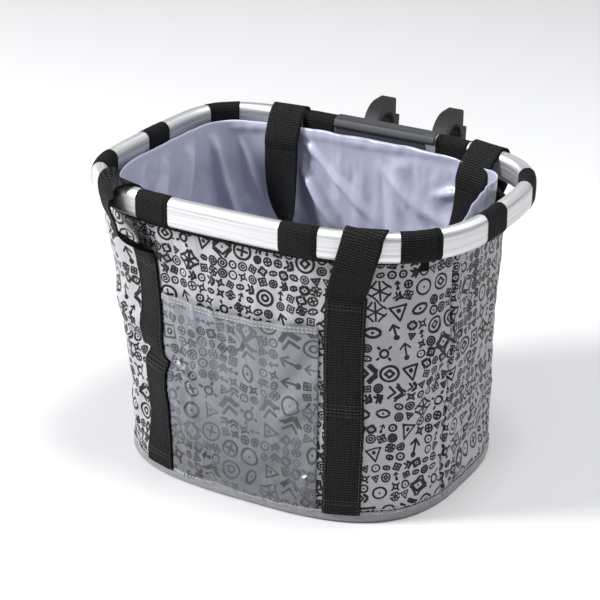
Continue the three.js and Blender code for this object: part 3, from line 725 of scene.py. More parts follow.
def silver_binding():
    g = Graph("silver_binding_tape", Sheen_Weight=0.3, Specular_IOR_Level=0.6)
    u, v = g.uv()
    threads = weave(g, u + v, v - u, 1.1)
    worn = g.noise(g.vector(u * 0.12, v), 1.0, 3.0)
    streak = g.noise(g.vector(u, v * 0.4), 0.5, 3.0)
    color = g.blend(worn, (0.14, 0.145, 0.155), (0.36, 0.365, 0.38))
    color = g.blend(streak * 0.4, color, (0.10, 0.105, 0.115))
    return g.finish(color, worn * 0.2 + 0.36, threads + streak * 2.0, 0.18, 0.55)


def webbing(name, rib, slant, shade, shine, line=None):
    """Black webbing: ribs across it, in columns of leaning threads. A stitched double line may run beside
    one edge, line millimetres from the middle."""
    g = Graph(name, Specular_IOR_Level=0.12)
    u, v = g.uv()
    column = (u / 1.7).floor()
    across = (u / 1.7).fraction() - 0.5
    lean = (column * 0.5).fraction() * 4.0 - 1.0
    ribs = ((v + across * lean * slant) * (2 * math.pi / rib)).wave() * 0.5 + 0.5
    edge = g.step(across.size(), 0.5, 0.28, 0.0, 1.0)
    fuzz = g.noise(g.vector(u, v), 2.2, 3.0, 0.7)
    height = ribs * edge
    uneven = g.noise(g.vector(u * 0.4, v * 0.06), 1.0, 2.0)
    glint = height * fuzz * (uneven * 0.8 + 0.6)
    bright = g.step(glint, 0.08, 0.55)
    color = g.blend(bright, (shade, shade, shade * 1.05), (shine, shine, shine * 1.06))
    if line:
        groove = g.step(((u - line).size() - 0.7).size(), 0.15, 0.45, 1.0, 0.0)
        color = g.blend(groove * 0.8, color, (0.002, 0.002, 0.002))
        height = height - groove * 2.0
    return g.finish(color, fuzz * 0.25 + 0.6, height + fuzz * 0.4, 0.5, 1.0)


def brushed_aluminium():
    g = Graph("brushed_aluminium", Metallic=1.0, Anisotropic=0.3)
    u, v = g.uv()
    streak = g.noise(g.vector(u * 0.008, v * 1.3), 1.0, 5.0, 0.7)
    fine = g.noise(g.vector(u * 0.05, v * 9.0), 1.0, 2.0, 0.6)
    smudge = g.noise(g.vector(u, v), 0.035, 3.0)
    scuff = g.step(g.noise(g.vector(u * 0.7, v * 0.9), 0.55, 4.0, 0.7), 0.67, 0.76)
    color = g.blend(g.step(streak, 0.3, 0.7), (0.62, 0.625, 0.64), (0.90, 0.90, 0.905))
    color = g.blend(scuff * 0.3, color, (0.50, 0.51, 0.53))
    roughness = streak * 0.16 + smudge * 0.12 + scuff * 0.15 + 0.36
    return g.finish(color, roughness, streak + fine * 0.5, 0.05, 0.5)


def zinc_plated_steel():
    g = Graph("zinc_plated_steel", Metallic=1.0)
    spot = g.noise(g.solid(), 0.9, 4.0, 0.6)
    color = g.blend(spot, (0.42, 0.43, 0.45), (0.62, 0.62, 0.63))
    return g.finish(color, spot * 0.25 + 0.24, spot, 0.03, 0.4)


def moulded(name, low, high, roughness, grain=1.6, depth=0.05, specular=0.45):
    """Moulded plastic or rubber with a fine spark-eroded grain."""
    g = Graph(name, Specular_IOR_Level=specular)
    solid = g.solid()
    texture = g.noise(solid, grain, 3.0, 0.6)
    flow = g.noise(solid, 0.05, 3.0)
    color = g.blend(flow, low, high)
    return g.finish(color, texture * 0.16 + roughness, texture, depth, 0.5)


def thread(name, low, high):
    g = Graph(name, Sheen_Weight=0.3, Roughness=0.55)
    twist = g.noise(g.solid(), 3.0, 2.0)
    return g.finish(g.blend(twist, low, high), None, twist, 0.05, 0.4)


PRINT = printed_fabric()
FILM = pocket_film()
SATIN = lining_satin()
BINDING = silver_binding()
GROSGRAIN = webbing("black_grosgrain", 1.7, 0.0, 0.0015, 0.034, 11.6)
TWILL = webbing("black_twill_webbing", 2.1, 1.5, 0.0012, 0.045)
HEM = webbing("black_hem_tape", 1.0, 0.0, 0.004, 0.02)
ALUMINIUM = brushed_aluminium()
STEEL = zinc_plated_steel()
GREY_PLASTIC = moulded("dark_grey_plastic", (0.036, 0.038, 0.044), (0.052, 0.054, 0.062), 0.42)
BLACK_PLASTIC = moulded("black_plastic", (0.009, 0.009, 0.010), (0.015, 0.015, 0.017), 0.48, specular=0.35)
RED_PLASTIC = moulded("red_plastic", (0.30, 0.018, 0.014), (0.38, 0.026, 0.02), 0.34)
RUBBER = moulded("black_rubber", (0.010, 0.010, 0.010), (0.018, 0.018, 0.018), 0.72, 0.9, 0.12, 0.3)
BOARD = moulded("stiffener_plastic", (0.022, 0.022, 0.024), (0.034, 0.034, 0.036), 0.5, 0.5)
WHITE_THREAD = thread("pale_grey_thread", (0.50, 0.50, 0.51), (0.72, 0.72, 0.73))
BLACK_THREAD = thread("black_thread", (0.004, 0.004, 0.004), (0.012, 0.012, 0.012))

# ---------------------------------------------------------------- how the cloth hangs

shape = Field(216, 940, 0.0, 224.0)


def strap_hold(s):
    """1 over a sewn strap, fading to 0 beside it."""
    return sum(1 - smoothstep(14, 24, np.abs(from_place(s, place))) for place in LEGS.values())


def hand_shape(s, z):
    """The outer wall's own folds and puckers, outward in millimetres."""
    height = np.clip(z / BAG["top"], 0, 1)
    belly = np.sin(np.pi * height) ** 0.7
    loose = belly * (1 - 0.55 * strap_hold(s))
    out = 1.6 * warped(s, z, 95, 11, 1.4) * belly + 1.1 * warped(s, z, 42, 21, 1.5) * loose
    out += 0.45 * warped(s, z, 17, 31, 1.6) * loose
    out -= 0.9 * creases(s, z, 58, 41) * loose
    out += 0.7 * noise(s, z, 13, 51, 4.0) * np.exp((z - BAG["top"]) / 26)
    out += 0.55 * noise(s, z, 9, 61, 2.5) * np.exp(-z / 10)
    for seam in SEAMS:
        off = from_place(s, seam)
        pucker = noise(s, z, 9, 71, 0.9)
        out += bump(off, 9) * (0.9 + 0.9 * pucker) - bump(off, 1.7) * 2.0
    left = LEGS[("front", "left")]
    out += fold(s, z, left, [(-62, 116), (-18, 103), (16, 100), (42, 88)], 5, -5.0)
    out += fold(s, z, left, [(-60, 136), (-14, 124), (20, 119)], 11, 3.0)
    out += fold(s, z, left, [(-10, 84), (22, 78), (50, 66)], 10, 1.4)
    off = from_place(s, left)
    pulled = smoothstep(18, -16, off) * (1 - smoothstep(-18, -42, off))
    out -= 5.6 * pulled * smoothstep(10, 50, z) * (1 - smoothstep(196, 216, z))
    out += 4.3 * bump(off + 60, 24) * smoothstep(90, 150, z) * (1 - smoothstep(198, 218, z))
    right = LEGS[("front", "right")]
    out += fold(s, z, right, [(-46, 92), (-20, 84), (-4, 72)], 5, -1.8)
    out += fold(s, z, right, [(20, 150), (44, 128), (60, 96)], 9, 1.5)
    return out


def flare(s, z):
    """The bag's mouth is drawn out towards the tube where the rim's left corners are square."""
    edge = wall(s, np.full(np.shape(s), BAG["top"]))[..., :2]
    line = rim.points[::24, :2]
    gap = np.min(np.linalg.norm(edge[..., None, :] - line, axis=-1), -1)
    left = smoothstep(-20, -60, edge[..., 0])
    return np.clip(gap - 6.0, 0, 9) * left * smoothstep(150, 214, z)


shape.out = hand_shape(shape.s, shape.z) + flare(shape.s, shape.z)
buckle = Field(54, 236, 0.0, 220.0)
start = hand_shape(buckle.s, buckle.z)
pins = np.clip(strap_hold(buckle.s), 0, 1) * 0.8
for seam in SEAMS:
    pins = np.maximum(pins, bump(from_place(buckle.s, seam), 3))
pins = np.maximum(pins, ((buckle.z < 8) | (buckle.z > 212)).astype(float))
buckle.out = drape(wall(buckle.s, buckle.z, start), wall_normal(buckle.s, buckle.z), pins, 0.012, 16, 3.0)
shape.out = shape.out + buckle(shape.s, shape.z)


# ---------------------------------------------------------------- rim


def oval_section():
    """The tube's section as (outward, up), anticlockwise, with two shallow grooves on each flat side."""
    r, reach = TUBE["thick"] / 2, TUBE["height"] / 2 - TUBE["thick"] / 2
    angles = np.linspace(0, np.pi, 14)
    top = np.stack([r * np.cos(angles), reach + r * np.sin(angles)], -1)
    flat = np.linspace(reach, -reach, 27)[1:-1]
    groove = 0.16 * (bump(flat - 3.2, 0.35) + bump(flat + 4.4, 0.35))
    side = np.stack([-r + groove, flat], -1)
    return np.concatenate([top, side, -top, -side])


def rim_tube():
    section = oval_section()
    joint = 10  # from the middle of the rear to each end of the tube
    d = np.linspace(rim_rear + joint, rim_rear + rim.length - joint, 420)
    centre, outward = rim.at(d), rim.outward(d)
    points = centre[:, None] + outward[:, None] * section[None, :, :1] + UP * (
        section[None, :, 1:] + TUBE["middle"]
    )
    girth = lengths_along(np.concatenate([section, section[:1]]))
    obj = thicken(grid_mesh("rim_tube", points, pairs(d[:, None], girth), wrap=True), TUBE["wall"], -1)
    place(obj, "basket", ALUMINIUM, "rim_aluminium", "rim_frame")


rim_tube()

# ---------------------------------------------------------------- webbing tabs


def inset_at(distance):
    """How far inside the rim line the bag's hem hangs."""
    at, outward = rim.at(distance), rim.outward(distance)
    half_width, half_depth = BAG_HALF["top"]
    for inset in np.arange(0, 30, 0.25):
        x, y, _ = at - outward * inset
        x -= BAG["lean"]
        power = BAG["corners"][(0 if x > 0 else 3) if y < 0 else (1 if x > 0 else 2)]
        if abs(x / half_width) ** power + abs(y / half_depth) ** power < 1:
            return inset
    return 30


def tab_path(inset):
    """The line of a tab's fabric as (outward, up): from the hem round the tube and back into the hem."""
    r = TUBE["thick"] / 2 + TAB["slack"] + TAB["fabric"] / 2
    reach = TUBE["height"] / 2 - TUBE["thick"] / 2
    tail, middle = 0.75, TUBE["middle"]
    lean = math.atan2(inset + tail, 12)
    down = np.linspace(-np.pi / 2 - lean, -np.pi, 8)
    over = np.linspace(np.pi, 0, 17)
    under = np.linspace(0, -np.pi / 2 + 0.1, 10)
    inner = np.stack([r * np.cos(down), middle - reach + r * np.sin(down)], -1)
    top = np.stack([r * np.cos(over), middle + reach + r * np.sin(over)], -1)
    outer = np.stack([r * np.cos(under), middle - reach + r * np.sin(under)], -1)
    start = [(-inset - 1.2 - tail, 208), (-inset - 1.2 - tail, 216)]
    end = [(-inset - 1.2 + tail, 216), (-inset - 1.2 + tail, 208)]
    return np.concatenate([start, inner, top, outer, end])


def hanging_tab(name, distance, seed):
    path = tab_path(inset_at(distance))
    line, _, along = through(np.stack([path[:, 0], path[:, 1], 0 * path[:, 0]], -1), 120)
    steps = unit(np.gradient(line, axis=0))
    a = np.linspace(-0.5, 0.5, 15)
    width = TAB["width"] * (1 + 0.012 * noise(along, 0, 19, seed))
    d = distance + a * width[:, None]
    selvedge = 0.22 * bump(np.abs(a) - 0.465, 0.025)
    lift = selvedge + 0.18 * noise(d * 3, along[:, None], 14, seed + 3) + 0.1
    lift = lift * smoothstep(0, 14, along)[:, None] * smoothstep(0, 14, along[-1] - along)[:, None]
    out, up = line[:, :1] + steps[:, 1:2] * lift, line[:, 1:2] - steps[:, :1] * lift
    centre, outward = rim.at(d), rim.outward(d)
    points = centre + outward * out[..., None] + UP * up[..., None]
    obj = grid_mesh(name + ".loop", points, pairs(a * TAB["width"], along[:, None]))
    flat = (TAB["width"], along[-1])
    cloth(obj, TAB["fabric"], 0, "basket", GROSGRAIN, "black_webbing", name, flat, "folded", "rim_tube")


for i, (name, distance) in enumerate(TAB_PLACES.items()):
    hanging_tab(name, distance, 900 + 10 * i)

# ---------------------------------------------------------------- wall panels

PANEL_TOP = 219.0


def spaced(start, end, step):
    return np.linspace(start, end, max(2, round((end - start) / step)) + 1)


def panel(name, node, start, end, shift):
    """A panel of the outer wall between two seams; shift moves its print."""
    seam = 0.25
    s, z = np.meshgrid(spaced(start + seam, end - seam, 2.0), spaced(BAG["bottom"], PANEL_TOP, 2.4))
    obj = grid_mesh(name, wall(s, z, shape(s, z)), pairs(s + shift[0], z + shift[1]))
    flat = (end - start, PANEL_TOP - BAG["bottom"])
    cloth(obj, 1.0, -1, "basket", PRINT, "printed_fabric", node, flat, "hung", "mouth_hem", collapse=True)


panel("front_wall", "front_panel", SEAMS[3] - ROUND, SEAMS[0], (0, 0))
panel("right_wall", "right_side_panel", SEAMS[0], SEAMS[1], (131, 67))
panel("back_wall", "back_panel", SEAMS[1], SEAMS[2], (11, 149))
panel("left_wall", "left_side_panel", SEAMS[2], SEAMS[3], (47, 33))

# ---------------------------------------------------------------- hem and base binding


def tape_band(name, section, edge_z, fold_z, low, high, steps):
    """A tape folded over an edge, all round the wall, and its flat size. It runs from its outer edge over the
    fold to its inner edge; section(s, out, z) then moves its points."""
    angle = np.linspace(0, np.pi, 400)
    c, s = np.cos(angle), np.sin(angle)
    power = 0.62  # squarer than an ellipse
    half, middle = (high - low) / 2, (high + low) / 2
    line = np.stack([middle + half * np.sign(c) * np.abs(c) ** power, lerp(edge_z, fold_z, s**power)], -1)
    lengths = lengths_along(line)
    along = np.linspace(0, lengths[-1], 22)
    out, z = (np.interp(along, lengths, line[:, k])[:, None] for k in range(2))
    s = around(steps)
    out, z = np.broadcast_arrays(*section(s[None], out, z))
    points = wall(np.broadcast_to(s, out.shape), z, out)
    return grid_mesh(name, points, pairs(np.append(s, ROUND), along[:, None]), wrap=True), (ROUND, along[-1])


def hem_section(s, out, z):
    wave = 0.4 * noise(s, 0 * s, 21, 301) + 0.2 * noise(s, 0 * s, 7, 302)
    inner = smoothstep(1.2, -1.5, out) * smoothstep(120, 150, from_place(s, ROUND / 2))
    return out + shape(s, 216 + 0 * s), z + wave + 3.4 * inner


hem, flat = tape_band("mouth_hem", hem_section, 216.8, 221.8, -3.3, 1.7, 470)
cloth(hem, 0.7, 0, "basket", HEM, "hem_tape", "top_hem", flat, "folded", "rim_tube")


def binding_section(s, out, z):
    pucker = noise(s, 0 * s, 7.5, 311) * 0.35 + noise(s, 0 * s, 23, 312) * 0.5
    pinch = np.abs(np.sin(np.pi * s / 4.2 + 2 * noise(s, 0 * s, 40, 313))) * 0.28
    upper, face = smoothstep(2, 8, z), smoothstep(-0.5, 1.0, out)
    swell = bump(z - 2.6, 2.0) * 0.7
    out = out + shape(s, 9 + 0 * s) * upper + face * (pucker * 0.5 + swell - pinch * bump(z - 6.2, 1.4))
    return out, z + pucker * 0.6 * upper


binding, flat = tape_band("base_binding", binding_section, 9.4, 0.6, -2.4, 1.2, 620)
cloth(binding, 0.9, 0, "basket", BINDING, "silver_binding", "base_piping", flat, "folded", "base_fabric", True)


def stitch_row(s, z, out, layer=shape):
    """A row for stitches: points out millimetres outside a layer on the wall, and their normals."""
    z = z + 0.0 * s
    return wall(s, z, layer(s, z) + out), wall_normal(s, z)


circuit = spaced(0.0, ROUND, 1.5)
rows = [stitch_row(circuit, 8.0, 1.4), stitch_row(circuit, 10.8, 0.3)]
stitches("base_stitching", rows, WHITE_THREAD, "silver_binding", 3.3, 2.5, 0.34)
rows = [stitch_row(circuit, 218.4, 2.1)]
stitches("hem_stitching", rows, BLACK_THREAD, "hem_tape", 3.4, 2.6, 0.3, collapse=False)

# ---------------------------------------------------------------- base


def floor_sheet(name, inset, z, relief, offset, material, slot, node):
    """A sheet over the bag's floor, from its middle out to the wall less inset."""
    steps = 200
    edge = wall(around(steps), np.full(steps, float(z)), -inset)
    share = np.linspace(0.02, 1, 34)[:, None, None]
    points = edge[None] * np.array([1, 1, 0]) * share + UP * z
    points[..., 2] += relief(points[..., 0], points[..., 1], share[..., 0])
    closed = np.concatenate([points, points[:, :1]], 1)
    obj = grid_mesh(name, points, closed[..., :2] + 400, wrap=True)
    bm = bmesh.new()
    bm.from_mesh(obj.data)
    middle = [e for e in bm.edges if e.is_boundary and e.verts[0].index < steps]
    bmesh.ops.holes_fill(bm, edges=middle)
    bmesh.ops.recalc_face_normals(bm, faces=bm.faces)
    bm.to_mesh(obj.data)
    bm.free()
    x, y, _ = edge.T
    area = 0.5 * abs(float(np.sum(x * np.roll(y, -1) - np.roll(x, -1) * y))) * MM * MM
    flat = np.ptp(edge[:, :2], axis=0)
    cloth(obj, 0.6, offset, "base", material, slot, node, flat, "laid", "base_board", area=area)


def base_relief(x, y, share):
    return 0.25 * noise(x * 2, y, 40, 401) * (1 - share**4) + 0.25


def floor_relief(x, y, share):
    soft = 1.6 * warped(x * 2 + 900, y, 70, 411) + 0.8 * warped(x * 2 + 900, y, 30, 421) + 1.9
    return np.maximum(0.1, soft) * (1 - share**6)


floor_sheet("base_fabric", 3.3, 0.35, base_relief, 0, PRINT, "printed_fabric", "base_panel")
floor_sheet("lining_base", 5.4, 5.4, floor_relief, 1, SATIN, "lining_satin", "lining_floor")

for node, material in (("base_board", BOARD), ("rim_joiner", STEEL)):
    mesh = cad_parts[node].data
    mesh.materials.clear()
    mesh.materials.append(material)

# ---------------------------------------------------------------- lining


def lining_depth(s, z):
    """How far the lining hangs inside the wall's outer face."""
    free = smoothstep(6, 60, z) * (1 - smoothstep(210, 228, z))
    depth = 2.0 * (warped(s, z, 88, 511, 1.6, 0.9) + 0.5) + 1.3 * warped(s, z, 40, 521, 1.8, 0.9)
    depth += 0.6 * warped(s, z, 18, 531, 2.0)
    depth += 1.3 * creases(s, z, 50, 551, 0.10) + 0.8 * creases(s, z, 27, 561, 0.12)
    middle = ROUND / 2
    folds = [
        ([(60, 226), (26, 194), (-20, 152)], 5.5, 12.0),
        ([(46, 222), (14, 186), (-34, 140)], 5, -6.0),
        ([(62, 198), (24, 146)], 5.5, 10.0),
        ([(-62, 196), (-98, 208)], 4, 6.0),
        ([(-70, 186), (-104, 196)], 4, -4.0),
        ([(-10, 212), (-52, 180), (-92, 168)], 6, 6.0),
        ([(-30, 196), (-64, 150), (-84, 120)], 6, 4.0),
        ([(132, 226), (122, 184), (104, 146)], 5, -7.0),
        ([(144, 224), (136, 180), (120, 130)], 5.5, 10.0),
        ([(118, 222), (108, 186), (98, 160)], 5, 7.0),
        ([(170, 216), (184, 176), (176, 120)], 6, 8.5),
        ([(158, 222), (166, 190), (160, 150)], 5, -5.0),
        ([(188, 218), (206, 176), (214, 130)], 6, -6.0),
        ([(206, 216), (226, 176), (250, 130)], 7, 8.0),
        ([(240, 212), (262, 160), (296, 120)], 7, 7.0),
        ([(-200, 214), (-210, 160), (-190, 100)], 11, 5.0),
    ]
    for path, width, height in folds:
        depth += fold(s, z, middle, path, width, height)
    off = from_place(s, middle)
    rear = smoothstep(-125, -95, off) * (1 - smoothstep(110, 135, off))
    seam = z - 222 - 0.07 * np.clip(-off, 0, 100)
    band = rear * ((1.6 + 0.8 * noise(s, z, 7, 571, 4.0)) * bump(seam - 5.5, 4.0) - 1.8 * bump(seam, 1.2))
    right = smoothstep(-250, -190, off) * (1 - smoothstep(-165, -138, off))
    standing = 11 * right * smoothstep(192, 220, z)
    return 3.1 + 1.5 * smoothstep(150, 214, z) + np.clip(depth, -0.5, 14) * free + band + standing


lining = Field(200, 640, 3.0, 244.0)
lining.out = lining_depth(lining.s, lining.z)
satin = Field(48, 210, 3.0, 236.0)
start = lining_depth(satin.s, satin.z)
pins = ((satin.z < 8) | (satin.z > 219)).astype(float)
base, normal = wall(satin.s, satin.z, -start), wall_normal(satin.s, satin.z)
satin.out = drape(base, normal, pins, 0.03, 20, 6.0, 0.6)
lining.out = lining.out - satin(lining.s, lining.z)
lining.out = np.clip(lining.out, 2.9 + 1.9 * smoothstep(180, 206, lining.z), 17)


def lining_top(s):
    """The height of the lining's upper edge: inside the tube, but under it on the left."""
    off = from_place(s, ROUND / 2)
    left = smoothstep(138, 168, off)
    hump = bump(off + 133, 14)
    return 233.5 - 1.5 * left + 4 * hump + 0.9 * noise(s, 0 * s, 47, 541) + 0.4 * noise(s, 0 * s, 16, 542)


def lining_wall():
    s = around(480)
    share = np.linspace(0, 1, 100)[:, None]
    z = lerp(5.6, lining_top(s)[None], share)
    grid_s = np.broadcast_to(s, z.shape)
    outer = np.minimum(shape(grid_s, z), 0.4) * smoothstep(0, 30, z)
    points = wall(grid_s, z, outer - lining(grid_s, z))
    cut = 220.0
    obj = grid_mesh("lining_bag", points, pairs(np.append(s, ROUND), share * cut), wrap=True)
    flat = (ROUND, cut)
    cloth(obj, 0.6, 1, "basket", SATIN, "lining_satin", "lining_wall", flat, "gathered", "mouth_hem", True)


lining_wall()

# ---------------------------------------------------------------- pocket


def pocket_out(s, z):
    """The pocket's film lies on the wall, stands off a little at its mouth, and is creased."""
    middle = (pocket_left + pocket_right) / 2
    across = np.clip(np.abs(s - middle) / POCKET["half"], 0, 1)
    mouth = smoothstep(70, POCKET["top"], z) * (1 - across**3)
    loose = (1 - across**6) * smoothstep(4, 24, z)
    crumple = 0.8 * warped(s, z, 34, 611) + 0.4 * warped(s, z, 15, 621) + 0.55
    lines = 1.1 * creases(s, z, 30, 631, 0.10) + 0.7 * creases(s, z, 17, 641, 0.12)
    out = 1.15 + 1.8 * mouth + (np.maximum(crumple, -0.2) * 0.9 + lines) * loose
    out += fold(s, z, pocket_left, [(2, 110), (18, 104), (34, 92)], 2.4, 3.4)
    out += fold(s, z, pocket_left, [(2, 98), (12, 92), (26, 86)], 2.2, 2.4)
    out += fold(s, z, pocket_right, [(-2, 98), (-16, 94), (-32, 82)], 2.4, 3.2)
    out += fold(s, z, pocket_right, [(-2, 38), (-13, 32)], 2.4, 2.6)
    return shape(s, z) + out


pocket_left = place_of(-POCKET["half"], 81)
pocket_right = place_of(POCKET["half"], 81)


def pocket_sag(s):
    share = (s - pocket_left) / (pocket_right - pocket_left)
    return -2.2 * np.sin(np.pi * share) ** 2 + 0.7 * noise(s, 0 * s, 33, 651)


def pocket():
    """The pocket's film, and the folded binding along its mouth."""
    s = spaced(pocket_left, pocket_right, 1.3)
    share = np.linspace(0, 1, 120)[:, None]
    z = lerp(BAG["bottom"] + 1, POCKET["top"] - 2 + pocket_sag(s)[None], share)
    grid_s = np.broadcast_to(s, z.shape)
    film = grid_mesh("pocket_front", wall(grid_s, z, pocket_out(grid_s, z)), pairs(grid_s, z))
    t = np.linspace(-1, 1, 13)[:, None]
    z = POCKET["top"] - POCKET["binding"] / 2 + pocket_sag(s)[None] + t * POCKET["binding"] / 2
    grid_s = np.broadcast_to(s, z.shape)
    out = pocket_out(grid_s, z) + 0.4 + 0.5 * (1 - t**4) - 0.3 * bump(np.abs(t) - 0.6, 0.2)
    out = out + 0.12 * noise(grid_s, z, 6, 661)
    band = thicken(grid_mesh("pocket_mouth_binding", wall(grid_s, z, out), pairs(grid_s, z)), 0.9, 0)
    place(band, "basket", BINDING, "silver_binding", "pocket_binding", collapse=True)
    rows = [stitch_row(s, POCKET["top"] - drop + pocket_sag(s), 1.25, pocket_out) for drop in (1.0, 4.0)]
    seam = stitches("pocket_stitching", rows, WHITE_THREAD, "silver_binding", 3.2, 2.3, 0.27)
    flat = (pocket_right - pocket_left, POCKET["top"] - 8)
    more = {"collapse": True, "with_pieces": [band, seam]}
    cloth(film, 0.5, 0, "basket", FILM, "pocket_fabric", "front_pocket", flat, "hung", "front_wall", **more)


pocket()

# ---------------------------------------------------------------- handles

# How far each strap leans round the wall near its top.
LEAN = {("front", "left"): -3.5, ("front", "right"): 0.5, ("rear", "left"): 2.0, ("rear", "right"): 0.0}


def leg(name, side):
    """A strap sewn up the wall. Returns where its top is, for the stretch that goes on from it."""
    centre = LEGS[(name, side)]
    node = f"{name}_handle_leg_{side}"
    z = spaced(BAG["bottom"] + 2.5, STRAP["sewn_top"], 1.8)
    a = np.linspace(-0.5, 0.5, 15)
    seed = 700 + sum(map(ord, node))
    sway = 1.0 * noise(z, 0 * z, 75, seed) + LEAN[(name, side)] * (np.clip(z - 130, 0, 60) / 60) ** 2
    edges = [0.4 * noise(z, 0 * z, 15, seed + k) + 0.25 * noise(z, 0 * z, 6, seed + 3 + k) for k in (1, 2)]
    s = centre + sway[:, None] + STRAP["width"] * a + lerp(edges[0][:, None], edges[1][:, None], a + 0.5)
    grid_z = np.broadcast_to(z[:, None], s.shape)
    on_pocket = name == "front"
    lift = 1.9 if on_pocket else 1.1
    sunk = 0.35 * bump(np.abs(a) - 0.44, 0.035)
    out = shape(s, grid_z) + lift - sunk + 0.2 * noise(s, grid_z, 12, seed + 8)
    obj = grid_mesh(node + ".webbing", wall(s, grid_z, out), pairs(STRAP["width"] * a, grid_z))
    flat = (STRAP["width"], STRAP["sewn_top"] - BAG["bottom"])
    under = "front_wall" if on_pocket else "back_wall"
    cloth(obj, STRAP["thick"], 0, "basket", TWILL, "black_webbing", node, flat, "hung", under, collapse=True)
    top = lift + STRAP["thick"] / 2 + 0.05
    rows = [stitch_row(centre + sway + STRAP["width"] * share, z, top) for share in (-0.44, 0.44)]
    for height in (16, 19, 92, 95, 98, 101, 180, 183):
        rows.append(stitch_row(centre + np.interp(height, z, sway) + np.linspace(-14, 14, 20), height, top))
    stitches(node + ".stitching", rows, BLACK_THREAD, "black_webbing", 3.0, 2.2, 0.3)
    return lift, float(sway[-1]), float((sway[-1] - sway[-4]) / (z[-1] - z[-4]))


def off(distance, outward, z):
    point = rim.at(distance) + rim.outward(distance) * outward
    point[2] = z
    return point


# How far each strap is shifted along the rim, at four places from under the tube to over its crown.
SKEW = {("front", "left"): (1.0, -7.0, -6.0, -1.0), ("front", "right"): (-7.5, -3.5, -2.0, 0.0)}


def handle_bend(name, side, distance, inside, lift, sway, slope):
    """The free stretch from the sewing over the rim's crown and down inside. The front left one turns
    edgewise on its way up."""
    node = f"{name}_handle_bend_{side}"
    centre = LEGS[(name, side)] + sway
    top, r, crown = STRAP["sewn_top"], STRAP["clear"], TUBE["crown"]
    skew = SKEW.get((name, side), (0, 0, 0, 0))

    def sewn(z, more=0.0, aside=0.0):
        s = centre + slope * (z - top) + aside
        return wall(s, z, shape(s, z) + lift + more)

    along = unit(sewn(top, 0, 14) - sewn(top, 0, -14))
    points, sides = [sewn(top - 1.0, 0.3), sewn(top + 3, 0.9)], [along, along]
    if (name, side) == ("front", "left"):
        stretch = [
            (lerp(sewn(top + 9), off(distance + 7, 10, top + 9), 0.5), distance, 0.3, 12),
            (off(distance + 5.5, 10.0, 208), distance + 5, 0.6, 24),
            (off(distance + skew[0], 10.5, 217), distance, 0.85, 27),
            (off(distance + skew[1], 9.5, 231), distance - 7, 1, 20),
        ]
    else:
        under = off(distance + skew[0], r + 3, top + 10)
        stretch = [
            (lerp(sewn(top + 10), under, 0.3), distance, 0.0, 0),
            (off(distance + skew[0], r + 2.0, crown - 18), distance, 0.6, 0),
            (off(distance + skew[1], r + 0.8, crown - 3), distance, 1, 0),
        ]
    for point, at, share, turn in stretch:
        outward, turn = rim.outward(at), math.radians(turn)
        straight = lerp(along, np.cross(UP, outward), share)
        points.append(point)
        sides.append(unit(straight) * math.cos(turn) + outward * math.sin(turn))
    points += [
        off(distance + skew[2], r * 0.75, crown + r * 0.72),
        off(distance + skew[3], 0, crown + r + 0.4),
        off(distance, -r * 0.85, crown + r * 0.6),
        off(distance, min(-inside + 4, -r), crown - 8),
        off(distance, -inside, crown - 18),
        off(distance, -inside, crown - HANDLE["start"] + 0.05),
    ]
    sides += [np.cross(UP, rim.outward(distance))] * 6
    obj = ribbon(node, points, sides, 800 + sum(map(ord, node)), 110, None, "draped")
    # The line from start to end rises inward; nothing uses it.
    start, end = off(distance, 7.0, crown - 2.6) * MM, off(distance, -7.0, crown + 2.6) * MM
    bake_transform(obj)


def handle_loop(name, side, distances, inside, drift):
    """The part of the handle that hangs inside, its flat side turning edgewise at the bottom."""
    node = f"{name}_handle_loop"
    top = TUBE["crown"] - HANDLE["start"]
    ends = [off(d, -reach, top) for d, reach in zip(distances, inside)]
    flats = [np.cross(UP, rim.outward(d)) for d in distances]
    points, sides = [], []
    for angle in np.linspace(0, np.pi, 25):
        sine, cosine = max(0.0, math.sin(angle)), math.cos(angle)
        share = 0.5 - 0.5 * np.sign(cosine) * abs(cosine) ** 0.45
        at = lerp(ends[0], ends[1], share)
        at[2] = top - (top - HANDLE["bottom"]) * sine**0.8
        at[1] -= side * drift * sine ** (1.4 if side > 0 else 0.5)
        flat = flats[0] if cosine > 0 else -flats[1]
        across = lerp(flat, np.array([0.0, side, 0.0]), sine ** (1.5 if side > 0 else 0.7))
        points.append(at)
        sides.append(unit(across))
    ribbon(node, points, sides, 850 + sum(map(ord, node)), 200, f"{name}_handle", "hung")


for name, handle in HANDLES.items():
    for side, distance, inside in zip(("left", "right"), handle["crossings"], handle["inside"]):
        lift, sway, slope = leg(name, side)
        handle_bend(name, side, distance, inside, lift, sway, slope)
    handle_loop(name, handle["side"], handle["crossings"], handle["inside"], handle["drift"])

# ---------------------------------------------------------------- coupling and bracket

for end, *rounding in (("front", 1.6, 4, 5.0), ("rear", 1.2, 3, 6.0)):
    refined(f"coupling_housing_{end}", "basket", GREY_PLASTIC, "grey_plastic", *rounding)
for i in range(4):
    refined(f"housing_screw_{i + 1}", "basket", STEEL, "steel", 0.25, 2)
refined("bracket_body", "bracket", BLACK_PLASTIC, "black_plastic", 1.6, 4, 3.5)
for side in ("left", "right"):
    refined(f"clamp_jaw_{side}", "bracket", BLACK_PLASTIC, "black_plastic", 0.8, 3, 3.0)
    for level in ("upper", "lower"):
        refined(f"clamp_shim_{side}_{level}", "bracket", RUBBER, "rubber", 0.3, 2, 4.0)
    for end in ("front", "rear"):
        refined(f"clamp_bolt_{side}_{end}", "bracket", STEEL, "steel", 0.3, 2)
refined("release_button", "button", RED_PLASTIC, "red_plastic", 0.9, 3)
refined("latch_catch", "bracket", STEEL, "steel", 0.25, 2)
spring = refined("button_spring", "bracket", STEEL, "steel", 0.1, 1)
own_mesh(spring)
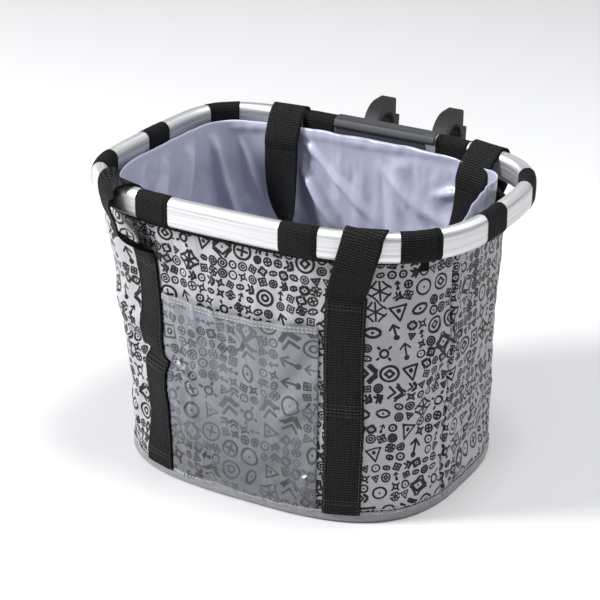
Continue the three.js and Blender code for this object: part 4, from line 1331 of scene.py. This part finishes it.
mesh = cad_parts["rim_joiner"].data
mesh.shade_smooth()
mesh.set_sharp_from_angle(angle=math.radians(35))

# ---------------------------------------------------------------- studio


def area_light(name, location, size, power):
    """A disc of light that faces the middle of the basket."""
    light = bpy.data.lights.new(name, "AREA")
    light.shape, light.size, light.energy = "DISK", size, power
    obj = bpy.data.objects.new(name, light)
    obj.location = location
    obj.rotation_euler = (Vector((0, 0, 0.12)) - Vector(location)).to_track_quat("-Z", "Y").to_euler()
    bpy.context.scene.collection.objects.link(obj)


def studio():
    mesh = bpy.data.meshes.new("floor")
    corners = [(8.0 * x, 8.0 * y, 0) for x, y in ((-1, -1), (1, -1), (1, 1), (-1, 1))]
    mesh.from_pydata(corners, [], [(0, 1, 2, 3)])
    floor = bpy.data.objects.new("floor", mesh)
    g = Graph("floor_paper", Roughness=0.85, Specular_IOR_Level=0.2)
    tone = g.noise(g.solid(), 0.002, 2.0)
    g.finish(g.blend(tone, (0.72, 0.72, 0.725), (0.74, 0.74, 0.745)))
    mesh.materials.append(g.material)
    bpy.context.scene.collection.objects.link(floor)
    world = bpy.data.worlds.new("studio")
    bpy.context.scene.world = world
    world.use_nodes = True
    background = world.node_tree.nodes["Background"]
    background.inputs[0].default_value = (0.95, 0.97, 1.0, 1.0)
    background.inputs[1].default_value = 0.34
    area_light("key", (-1.9, -1.4, 1.75), 0.8, 100)
    area_light("top", (0.5, 0.05, 2.3), 0.9, 36)
    area_light("rim_light", (1.6, 1.3, 1.5), 1.0, 5)


CAMERA = {"azimuth": 29.479, "elevation": 23.513, "roll": 0.59, "distance": 1612.713, "lens": 120.01}
CAMERA_TARGET = (-3.993, -12.874, 133.337)


def photographer():
    camera = bpy.data.objects.new("camera", bpy.data.cameras.new("camera"))
    camera.data.lens, camera.data.sensor_width = CAMERA["lens"], 36
    azimuth, elevation, roll = (math.radians(CAMERA[k]) for k in ("azimuth", "elevation", "roll"))
    level = math.cos(elevation)
    back = Vector((math.sin(azimuth) * level, -math.cos(azimuth) * level, math.sin(elevation)))
    right = Vector((math.cos(azimuth), math.sin(azimuth), 0))
    up = back.cross(right)
    turned = right * math.cos(roll) + up * math.sin(roll)
    upright = up * math.cos(roll) - right * math.sin(roll)
    matrix = Matrix((turned, upright, back)).transposed().to_4x4()
    matrix.translation = (Vector(CAMERA_TARGET) + back * CAMERA["distance"]) * MM
    camera.matrix_world = matrix
    bpy.context.scene.collection.objects.link(camera)
    bpy.context.scene.camera = camera


studio()
photographer()
bpy.context.scene.view_settings.view_transform = "Standard"
